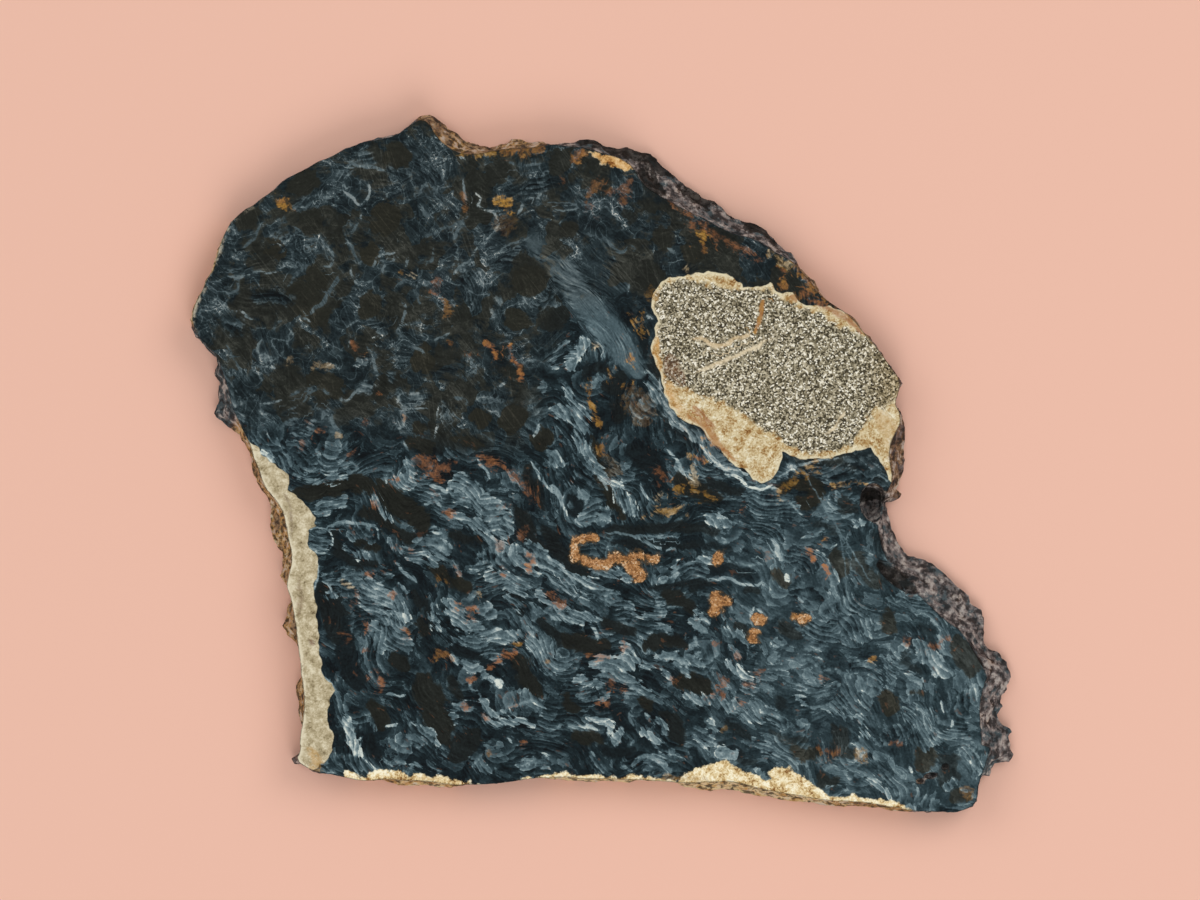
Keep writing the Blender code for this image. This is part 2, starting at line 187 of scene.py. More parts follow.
BUNDLES_LOWER_LEFT = (
    (1.4, 0.58, (-36.6, -25.2), (-35.4, -27.6), (-36.2, -30.2)),
    (1.4, 0.50, (-35.2, -26.6), (-33.0, -28.2), (-31.4, -28.4)),
    (0.8, 0.60, (-37.4, -23.2), (-34.2, -25.0), (-31.2, -26.6)),
    (0.4, 0.60, (-28.4, -23.6), (-26.9, -25.0), (-26.2, -26.8)),
    (1.0, 0.64, (-25.4, -23.2), (-23.2, -24.7), (-21.2, -26.0), (-18.2, -27.0), (-15.2, -27.8),
     (-12.2, -27.0)),
    (0.9, 0.62, (-12.6, -26.2), (-11.1, -28.0), (-10.2, -30.0), (-9.2, -32.0), (-7.8, -33.5)),
    (0.5, 0.52, (-11.2, -25.8), (-9.1, -27.5), (-7.2, -29.3)),
    (0.8, 0.50, (-24.8, -28.5), (-22.0, -28.3), (-19.8, -29.0), (-17.4, -30.5), (-15.8, -32.8)),
    (0.6, 0.60, (-24.3, -30.8), (-22.0, -32.0), (-19.6, -33.0), (-18.4, -34.0), (-17.0, -34.4)),
    (0.4, 0.92, (-16.3, -33.8), (-16.1, -36.0)),
    (0.5, 0.62, (-21.3, -34.8), (-20.0, -36.4), (-18.8, -38.0), (-18.4, -39.3), (-16.8, -39.8),
     (-14.2, -39.5)),
    (0.5, 0.56, (-24.3, -39.0), (-22.5, -38.7), (-20.2, -39.2)),
    (0.7, 0.52, (-24.3, -39.8), (-22.8, -41.5)),
    (0.4, 0.62, (-19.2, -40.3), (-17.0, -41.8), (-14.5, -41.3), (-12.5, -41.3), (-10.8, -42.2)),
    (0.5, 0.56, (-13.3, -36.3), (-11.0, -37.5), (-9.3, -38.5), (-9.8, -40.0)),
    (0.4, 0.60, (-30.3, -41.6), (-28.2, -42.2), (-27.0, -44.0), (-25.8, -45.6)),
    (0.5, 0.50, (-32.3, -42.8), (-30.0, -44.4), (-28.6, -44.3), (-26.8, -43.4)),
    (0.8, 0.42, (-32.4, -42.8), (-31.5, -45.0), (-32.2, -47.2), (-34.0, -48.2)),
    (0.9, 0.84, (-41.3, -40.2), (-40.4, -42.2), (-39.6, -44.6), (-38.8, -47.0)),
    (0.4, 0.52, (-37.2, -40.6), (-35.8, -42.8)),
    (0.8, 0.36, (-36.6, -32.2), (-35.3, -34.3)),
    (0.8, 0.40, (-43.0, -47.3), (-40.2, -47.3), (-38.2, -49.2)),
    (0.4, 0.50, (-30.4, -48.2), (-27.6, -48.5), (-25.8, -49.4)),
    (0.7, 0.50, (-20.8, -46.2), (-19.2, -48.6), (-17.3, -49.6)),
    (0.6, 0.46, (-13.4, -48.6), (-10.2, -47.5), (-7.6, -48.1)),
    (0.4, 0.46, (-31.6, -26.6), (-31.0, -29.5), (-31.4, -31.4)),
)
BUNDLES_LOWER_MIDDLE = (
    (0.7, 0.50, (-9.7, -26.6), (-8.6, -29.8), (-8.8, -33.4)),
    (0.9, 0.52, (-9.4, -33.6), (-7.2, -32.5), (-5.2, -31.5), (-3.2, -31.0)),
    (1.2, 0.66, (-2.0, -31.5), (0.5, -32.0), (3.0, -32.3), (5.4, -32.8)),
    (0.9, 0.60, (-0.6, -33.8), (2.0, -33.6), (4.2, -34.6), (6.2, -36.0), (8.4, -37.5)),
    (0.5, 0.60, (2.8, -30.9), (6.0, -31.5), (8.2, -32.0), (9.8, -32.8), (11.3, -34.5)),
    (0.8, 0.66, (6.6, -32.8), (9.0, -31.4), (11.0, -30.8), (13.2, -31.0), (15.2, -31.6), (16.6, -32.6)),
    (0.6, 0.66, (11.8, -31.6), (13.0, -33.0), (14.4, -34.0)),
    (0.7, 0.62, (-5.4, -35.1), (-3.0, -34.6), (-1.0, -35.0), (0.5, -36.5), (-0.4, -38.2)),
    (0.8, 0.52, (-4.0, -36.9), (-2.0, -37.5), (-0.6, -38.1)),
    (0.5, 0.72, (-2.6, -40.4), (-0.6, -40.8), (1.0, -41.9), (1.5, -43.2)),
    (0.5, 0.60, (3.1, -42.0), (2.8, -43.6), (1.6, -45.3)),
    (0.4, 0.66, (6.6, -41.2), (7.0, -43.0), (8.5, -44.0), (10.3, -44.8)),
    (0.4, 0.52, (6.8, -39.8), (8.5, -41.0), (9.8, -42.0), (10.6, -43.6)),
    (0.7, 0.52, (4.8, -49.0), (6.0, -47.5), (8.0, -46.9), (9.6, -48.3), (10.4, -50.2)),
    (1.0, 0.44, (6.4, -48.6), (8.0, -48.6), (9.2, -49.2)),
    (0.5, 0.44, (-2.2, -46.3), (-0.8, -47.5), (0.8, -49.3)),
    (0.4, 0.46, (10.8, -45.2), (11.8, -46.8), (13.4, -47.4)),
    (0.5, 0.62, (14.3, -43.2), (16.0, -44.4), (17.9, -43.5), (18.1, -42.0), (16.8, -41.1)),
    (0.4, 0.50, (14.6, -41.9), (16.8, -42.6)),
    (0.8, 0.62, (13.2, -36.8), (15.5, -37.8), (18.0, -37.8), (20.0, -38.5), (22.0, -39.3), (24.0, -40.3),
     (26.4, -41.4)),
    (0.5, 0.72, (19.8, -31.5), (21.5, -33.0), (23.0, -34.0), (24.2, -35.6)),
    (0.4, 0.52, (22.2, -36.0), (24.0, -36.3), (25.8, -36.0)),
    (0.8, 0.52, (25.6, -39.2), (28.4, -40.8)),
    (0.4, 0.62, (2.4, -27.8), (4.0, -29.0), (4.5, -31.0)),
    (0.4, 0.56, (6.8, -27.2), (8.5, -26.0), (10.5, -26.5), (11.8, -27.8)),
    (0.5, 0.58, (13.8, -24.8), (15.5, -26.0), (16.8, -27.8)),
    (0.4, 0.52, (17.8, -26.7), (20.0, -27.0), (23.0, -28.3), (24.2, -30.3)),
    (0.4, 0.46, (20.2, -29.4), (23.0, -30.5), (25.0, -31.8)),
    (0.5, 0.50, (23.8, -43.9), (26.0, -45.3), (28.4, -46.2)),
    (0.4, 0.60, (24.3, -48.3), (26.0, -50.0), (28.4, -51.5)),
    (1.0, 0.62, (18.4, -46.6), (20.4, -46.2), (21.8, -47.0)),
)
BUNDLES_RIGHT = (
    (2.2, 0.46, (32.2, -25.8), (35.0, -27.0), (38.2, -26.4), (41.6, -26.0)),
    (0.5, 0.56, (27.6, -27.8), (28.6, -29.0), (30.5, -30.3), (33.4, -30.6)),
    (0.6, 0.50, (29.6, -30.9), (33.0, -31.5), (36.0, -32.5), (38.5, -34.0), (39.8, -35.3)),
    (0.5, 0.50, (26.6, -32.8), (29.0, -34.0), (30.5, -35.0), (32.5, -35.5), (35.0, -36.0), (37.4, -37.1)),
    (0.4, 0.60, (30.9, -36.6), (31.6, -38.0), (33.5, -38.7), (36.0, -39.0), (38.0, -40.0), (40.4, -41.0)),
    (1.0, 0.46, (35.6, -38.4), (38.0, -38.0), (39.4, -36.8)),
    (0.4, 0.66, (40.8, -39.8), (41.5, -42.0), (42.5, -44.4)),
    (1.0, 0.52, (42.2, -31.6), (43.5, -33.4), (43.7, -35.2), (43.0, -37.0), (41.8, -38.8)),
    (0.5, 0.50, (44.8, -30.2), (46.0, -33.0), (46.4, -35.8)),
    (0.4, 0.60, (46.8, -31.3), (48.0, -29.5), (49.2, -28.0)),
    (1.4, 0.64, (50.0, -28.3), (51.6, -30.0), (53.2, -31.6), (54.8, -32.8), (56.2, -34.0)),
    (0.5, 0.60, (48.2, -34.0), (50.0, -34.5), (51.2, -36.0)),
    (0.5, 0.56, (51.8, -38.2), (52.7, -40.0), (53.1, -41.9)),
    (0.4, 0.52, (49.8, -40.2), (51.0, -42.0), (52.4, -43.1), (53.8, -42.4)),
    (1.1, 0.60, (52.6, -44.7), (55.0, -44.0), (57.0, -43.3), (59.0, -44.7)),
    (0.5, 0.52, (58.3, -44.7), (59.7, -47.0), (60.1, -49.0), (59.4, -50.9)),
    (0.4, 0.50, (58.3, -34.8), (59.0, -37.0), (60.1, -38.8)),
    (1.5, 0.34, (55.8, -35.6), (57.5, -38.5), (57.0, -41.0), (58.6, -43.3)),
    (0.6, 0.54, (42.6, -46.6), (45.0, -49.0), (46.5, -51.0), (48.2, -53.3)),
    (0.4, 0.66, (41.8, -49.2), (44.0, -51.5), (46.2, -53.5)),
    (0.5, 0.50, (44.6, -46.6), (47.0, -49.0), (48.7, -51.3)),
    (1.0, 0.48, (48.2, -51.2), (50.0, -53.0), (52.0, -54.4), (54.4, -55.0)),
    (0.4, 0.42, (54.7, -51.7), (57.0, -51.0), (58.4, -52.4)),
    (0.5, 0.36, (52.6, -55.0), (56.0, -55.4), (58.4, -55.2)),
    (0.6, 0.46, (35.6, -52.5), (38.8, -52.0)),
    (0.6, 0.52, (27.2, -46.8), (29.5, -47.4), (31.3, -49.3)),
    (0.6, 0.40, (26.6, -39.8), (28.2, -41.0), (31.0, -42.0), (33.4, -43.2)),
    (0.6, 0.50, (49.0, -38.2), (49.4, -41.6)),
    (1.0, 0.38, (43.6, -44.5), (47.0, -43.3), (50.0, -44.0), (52.4, -45.8)),
    (1.0, 0.40, (39.6, -31.2), (41.2, -33.3)),
)
BUNDLES_UPPER = (
    (0.9, 0.66, (-4.9, 14.8), (-4.5, 17.2), (-3.4, 18.9), (-1.6, 19.5)),
    (0.5, 0.60, (-5.5, 13.9), (-5.3, 11.2), (-4.3, 9.2), (-2.8, 8.0), (-1.9, 6.0), (-1.7, 4.6)),
    (1.1, 0.62, (-8.2, 9.0), (-6.0, 8.4), (-4.0, 7.2), (-2.8, 5.6), (-2.2, 4.4)),
    (0.4, 0.52, (-8.0, 15.2), (-7.0, 17.8), (-5.2, 19.4)),
    (0.5, 0.46, (-9.4, 11.0), (-9.2, 13.4)),
    (1.0, 0.60, (7.2, 14.8), (8.0, 13.0), (9.0, 11.0), (10.4, 9.0), (12.0, 7.0), (13.6, 5.2)),
    (1.0, 0.62, (14.2, 5.6), (16.6, 3.0), (18.6, 0.9), (20.6, -0.8), (23.0, -2.6)),
    (0.9, 0.50, (27.2, -3.0), (28.3, -1.6), (29.8, -0.9), (31.4, -2.0)),
    (0.5, 0.42, (-12.6, 26.6), (-10.0, 25.3), (-8.0, 25.8), (-6.3, 25.5)),
    (0.7, 0.44, (-8.1, 29.3), (-7.7, 27.4), (-8.5, 25.9)),
    (0.5, 0.54, (-17.3, 23.3), (-16.5, 25.2), (-16.3, 27.0)),
    (0.7, 0.34, (-17.8, 31.8), (-15.0, 33.0), (-12.8, 34.7)),
    (0.9, 0.34, (-22.9, 29.1), (-21.2, 29.5), (-20.3, 30.8)),
    (0.8, 0.46, (-32.6, 10.2), (-30.0, 10.4), (-27.2, 10.9)),
    (0.5, 0.50, (-25.4, 10.4), (-24.8, 8.0), (-25.1, 5.2)),
    (0.6, 0.56, (-33.7, 14.9), (-33.3, 12.6)),
    (0.8, 0.70, (-39.2, 11.4), (-37.8, 12.6), (-36.7, 11.2)),
    (0.7, 0.64, (-39.3, 16.9), (-37.4, 16.0)),
    (0.6, 0.50, (-35.9, 21.6), (-34.2, 21.0)),
    (1.1, 0.34, (-48.4, 3.2), (-47.2, 1.6), (-46.6, -0.6)),
    (0.7, 0.46, (-56.2, 4.6), (-53.4, 3.6), (-51.2, 3.0)),
    (1.2, 0.84, (-55.2, 1.4), (-53.4, 0.8), (-52.2, 0.4)),
    (0.8, 0.52, (-52.0, 1.6), (-50.8, 0.6), (-49.6, -0.8)),
    (0.8, 0.52, (-61.4, 16.4), (-60.2, 13.6), (-59.2, 10.6), (-58.2, 8.0), (-57.2, 5.6)),
    (0.9, 0.46, (-59.2, 38.3), (-59.4, 36.6), (-59.8, 35.2)),
    (0.7, 0.40, (-60.8, 23.8), (-59.5, 22.0), (-58.3, 20.4)),
    (0.6, 0.42, (-58.2, 23.4), (-57.8, 20.2)),
    (0.9, 0.48, (-49.3, 41.0), (-47.6, 41.6), (-45.9, 41.6)),
    (0.7, 0.44, (-40.6, 49.1), (-38.2, 49.0), (-36.2, 48.1)),
    (0.5, 0.42, (-34.9, 47.1), (-32.8, 46.6), (-31.0, 46.2)),
    (0.7, 0.36, (-26.6, 47.2), (-26.2, 45.2)),
    (1.2, 0.30, (-13.0, 43.6), (-10.4, 44.4), (-8.0, 46.0)),
    (1.0, 0.28, (-56.0, 26.6), (-52.0, 26.8), (-49.0, 25.6)),
)
BUNDLES = (
    BUNDLES_LEFT + BUNDLES_MIDDLE + BUNDLES_LOWER_LEFT + BUNDLES_LOWER_MIDDLE + BUNDLES_RIGHT + BUNDLES_UPPER
)

# Dark quartz between them, and painted shade in the notch and recesses by the rind: half-width, brownness,
# then the points.
SHADES = (
    (1.3, 0.8, (-49.2, -4.7), (-46.0, -4.4), (-43.0, -3.9), (-40.2, -3.4), (-37.6, -3.2), (-36.8, -5.0)),
    (1.9, 0.8, (-35.4, -2.8), (-34.0, -5.2), (-31.4, -7.2), (-29.2, -8.8), (-28.2, -11.0)),
    (0.9, 0.5, (-33.4, -10.6), (-30.6, -12.0), (-27.6, -11.0)),
    (0.8, 0.6, (-39.4, -8.4), (-37.5, -7.8), (-35.5, -8.8), (-32.8, -11.2)),
    (0.9, 0.3, (-43.4, -10.6), (-42.2, -13.0), (-40.5, -15.5), (-35.8, -16.2)),
    (0.7, 0.7, (-39.7, -12.8), (-37.0, -12.8), (-35.2, -13.6)),
    (2.0, 0.3, (-45.2, -18.8), (-43.6, -22.0), (-42.4, -26.0), (-41.4, -29.5)),
    (1.6, 0.1, (-41.4, -24.0), (-41.0, -29.0), (-40.2, -33.0), (-38.8, -36.4)),
    (1.1, 0.4, (-13.8, -6.2), (-12.4, -9.0), (-11.0, -12.0), (-8.8, -14.2)),
    (1.0, 0.9, (-28.3, -16.5), (-25.5, -17.4), (-23.0, -19.3), (-20.6, -20.2)),
    (0.9, 0.4, (-24.4, -10.8), (-22.0, -12.0), (-18.6, -12.5)),
    (0.8, 0.3, (-30.2, -20.2), (-28.3, -23.0), (-26.8, -26.4)),
    (0.8, 0.2, (-14.8, -20.2), (-13.0, -22.0), (-12.3, -24.4)),
    (1.3, 0.8, (-31.6, 3.2), (-29.0, 3.2), (-27.0, 1.6)),
    (1.5, 0.9, (-24.4, 4.2), (-21.5, 3.8), (-18.4, 3.0)),
    (0.9, 0.9, (-1.6, 4.4), (-0.6, 0.4), (0.5, -3.2), (2.0, -6.4), (3.8, -9.0)),
    (1.0, 0.1, (-5.3, -4.8), (-3.6, -6.3), (-4.8, -8.4)),
    (1.3, 0.9, (-10.8, 2.6), (-9.4, 4.0), (-7.8, 5.0)),
    (1.3, 0.3, (-9.4, -9.6), (-8.2, -12.0), (-6.6, -14.2), (-4.5, -16.4), (-1.6, -18.2)),
    (0.9, 0.3, (-0.4, -10.8), (6.0, -10.6), (12.0, -10.1), (19.2, -10.9)),
    (0.7, 0.2, (0.6, -12.8), (7.0, -12.5), (12.0, -13.0), (18.4, -12.8)),
    (0.8, 0.2, (7.6, -19.9), (12.0, -19.5), (16.0, -19.3), (18.6, -18.9)),
    (1.0, 0.6, (9.6, -20.8), (13.0, -22.0), (15.2, -24.4)),
    (1.6, 0.1, (3.6, 2.4), (6.2, 1.2), (8.5, -0.5), (9.4, -2.8)),
    (1.3, 0.7, (11.4, -2.4), (15.6, -4.3), (19.6, -6.2)),
    (0.8, 0.4, (-12.4, -0.4), (-10.6, -4.0), (-9.2, -7.2)),
    (1.3, 0.6, (-33.8, -30.6), (-31.8, -32.0), (-31.2, -33.4)),
    (2.2, 0.7, (-29.4, -33.4), (-28.0, -36.2), (-27.0, -38.6), (-26.0, -41.4), (-24.6, -45.0)),
    (1.0, 0.6, (-29.4, -24.6), (-28.0, -27.6)),
    (1.4, 0.7, (-13.8, -30.4), (-12.6, -33.0), (-11.3, -35.4), (-9.6, -37.6)),
    (1.2, 0.8, (-37.4, -37.6), (-35.7, -40.0), (-34.8, -43.0)),
    (0.8, 0.1, (-37.2, -42.6), (-36.6, -45.0), (-35.8, -47.4)),
    (0.8, 0.1, (-24.4, -29.6), (-21.5, -30.2), (-18.6, -31.2)),
    (0.8, 0.4, (-24.4, -33.6), (-23.5, -36.0), (-22.2, -38.2)),
    (2.0, 0.4, (-19.4, -42.6), (-21.8, -45.0), (-24.4, -47.4)),
    (1.0, 0.3, (-10.4, -24.8), (-8.4, -26.4), (-6.6, -29.4)),
    (1.4, 0.7, (-7.0, -27.2), (-4.4, -28.4), (-1.6, -29.0), (1.4, -29.0)),
    (0.8, 0.4, (-0.4, -24.7), (2.8, -26.4), (5.9, -27.2)),
    (1.4, 0.0, (1.6, -38.6), (3.4, -40.2), (3.2, -41.6), (5.4, -42.2)),
    (0.7, 0.7, (-5.2, -36.6), (-5.7, -38.0), (-3.6, -39.7)),
    (1.5, 0.8, (11.6, -34.3), (14.8, -35.0), (17.8, -36.8)),
    (1.2, 0.6, (6.6, -29.2), (10.6, -28.1), (13.9, -29.3)),
    (0.9, 0.8, (-4.9, -43.4), (-1.6, -44.1), (0.4, -43.4)),
    (0.9, 0.8, (5.6, -37.8), (8.4, -39.0)),
    (0.7, 0.0, (14.8, -45.6), (15.6, -48.0)),
    (0.8, 0.2, (19.6, -41.0), (22.4, -43.0), (24.4, -44.8)),
    (0.7, 0.2, (18.6, -44.8), (21.2, -46.2), (23.2, -47.6), (25.3, -48.0)),
    (0.8, 0.1, (-1.0, -45.3), (2.4, -46.4), (5.4, -46.0)),
    (1.2, 0.4, (9.8, -39.6), (11.8, -42.0), (12.6, -45.4)),
    (0.8, 0.4, (21.6, -25.6), (23.6, -27.8)),
    (1.0, 0.4, (28.0, -25.6), (30.0, -26.6), (32.2, -28.0)),
    (1.3, 0.7, (45.9, -23.2), (46.3, -27.6)),
    (0.6, 0.2, (48.2, -29.6), (49.0, -32.0), (51.3, -33.5)),
    (0.9, 0.1, (52.2, -27.6), (53.6, -29.8)),
    (0.8, 0.1, (50.6, -25.2), (53.2, -27.3)),
    (1.8, 0.6, (56.4, -27.8), (58.5, -30.8), (59.8, -34.0)),
    (1.4, 0.9, (44.8, -36.2), (46.0, -38.4), (46.6, -40.4)),
    (1.0, 0.0, (53.8, -36.2), (55.0, -38.4), (54.7, -41.0)),
    (0.7, 0.7, (49.6, -36.4), (52.4, -37.1)),
    (1.3, 0.8, (50.8, -45.2), (52.0, -47.0), (51.3, -49.4)),
    (1.5, 0.3, (53.6, -46.8), (56.0, -48.4), (55.2, -50.4), (57.6, -49.8)),
    (1.2, 0.5, (34.6, -49.6), (36.4, -51.0), (38.4, -50.3)),
    (1.3, 0.4, (36.8, -41.7), (38.5, -43.5), (38.0, -45.4), (40.4, -46.7)),
    (0.9, 0.8, (30.0, -45.3), (32.4, -46.5), (35.4, -45.8)),
    (0.8, 0.3, (26.6, -42.9), (30.0, -44.0), (33.4, -44.6)),
    (0.8, 0.2, (29.2, -37.2), (28.4, -39.4)),
    (0.4, 0.0, (40.4, -49.7), (41.2, -52.3)),
    (0.9, 0.7, (55.6, -53.6), (58.9, -52.8)),
    (1.2, 0.9, (27.8, -4.7), (30.4, -3.5), (33.0, -3.1), (34.6, -4.4), (33.2, -6.4), (30.8, -5.2)),
    (0.5, 0.0, (31.6, -0.6), (34.0, -0.2), (36.4, 0.4)),
    (0.6, 0.2, (32.6, -9.7), (36.0, -9.8), (38.4, -11.2)),
    (1.3, 0.7, (36.8, -13.6), (38.4, -16.4), (38.1, -18.4)),
    (1.4, 0.5, (40.2, -14.2), (42.0, -17.0), (44.4, -20.0)),
    # Painted shade: black in the recess under the right rind
    (1.3, 0.1, (43.8, -15.6), (46.0, -17.6), (48.6, -19.2), (50.6, -20.8)),
    (0.9, 0.1, (43.2, -10.4), (44.4, -12.6), (44.8, -15.0)),
    # Painted shade: black inside the notch by the right rind
    (2.3, 0.1, (43.4, -4.6), (43.8, -7.0)),
    # Painted shade: black in the recess under the upper rind
    (1.0, 0.1, (6.4, 46.6), (8.6, 44.6), (10.4, 42.8)),
    (1.1, 0.5, (-3.0, 51.4), (4.0, 50.6), (9.6, 48.0), (14.6, 43.6), (20.0, 40.2), (26.0, 37.2),
     (29.6, 34.2)),
    (0.9, 0.8, (26.8, -17.3), (29.0, -18.5), (29.6, -20.3)),
    (0.9, 0.3, (22.6, -19.8), (25.4, -20.6)),
    (0.7, 0.1, (15.6, -17.0), (20.0, -16.8), (24.4, -17.6)),
    (0.8, 0.1, (14.8, -11.9), (17.4, -13.5), (20.8, -13.8)),
    (0.9, 0.3, (16.6, -2.4), (20.0, -4.0), (23.4, -4.6)),
    (1.2, 0.3, (37.6, -5.8), (40.8, -7.8)),
    (0.5, 0.1, (35.6, -3.8), (39.6, -4.0), (42.2, -4.3)),
    (2.2, 0.9, (-13.6, 27.4), (-11.6, 29.8), (-9.2, 28.2)),
    (1.8, 0.5, (-9.4, 21.8), (-7.2, 23.4), (-5.2, 24.2)),
    (1.5, 0.9, (-14.4, 21.6), (-12.8, 24.4)),
    (2.6, 0.9, (-16.0, 8.4), (-12.6, 6.2)),
    (1.2, 0.3, (0.4, 13.2), (2.0, 12.0), (3.2, 14.8)),
    (1.2, 0.3, (2.4, 10.4), (3.1, 6.6)),
    (0.8, 0.1, (7.1, 22.4), (6.5, 19.2), (7.3, 16.6)),
    (1.4, 0.3, (10.6, 32.6), (8.0, 31.0), (6.8, 28.6)),
    (1.1, 0.9, (13.2, 34.2), (16.6, 33.2)),
    (0.9, 0.2, (-2.7, 13.2), (-1.0, 15.6), (1.2, 14.8)),
    (1.6, 1.0, (-54.4, 33.8), (-50.8, 34.6)),
    (2.0, 0.8, (-48.4, 38.2), (-44.6, 39.2)),
    (2.0, 0.8, (-50.6, 43.6), (-45.6, 46.8)),
    (2.4, 1.0, (-36.4, 40.4), (-32.6, 38.2)),
    (2.2, 0.9, (-46.8, 28.8), (-43.8, 29.8)),
    (1.3, 1.0, (-38.2, 32.8), (-35.8, 34.2)),
    (2.2, 0.9, (-34.6, 48.4), (-30.6, 49.4)),
    (1.3, 0.8, (-57.8, 37.6), (-55.6, 41.2)),
    (3.0, 0.9, (-50.0, 28.6), (-47.0, 25.6), (-44.0, 22.0)),
    (2.2, 0.9, (-47.2, 13.8), (-43.4, 13.2), (-40.8, 12.8)),
    (2.6, 1.0, (-30.4, 16.6), (-26.4, 16.2)),
    (2.4, 1.0, (-21.0, 8.6), (-18.0, 6.0)),
    (2.0, 0.9, (-38.6, 26.4), (-35.2, 25.2)),
    (1.8, 0.9, (-30.0, 5.0), (-28.0, 6.4)),
    (2.2, 0.8, (-6.6, 37.4), (-3.4, 38.0)),
    (2.4, 0.7, (-18.8, 46.4), (-14.8, 46.8)),
    (2.0, 0.7, (-7.4, 49.2), (-5.6, 47.2)),
    (1.8, 0.8, (8.0, 36.4), (10.8, 37.2)),
    (1.8, 0.5, (2.8, 40.2), (6.0, 39.2)),
)

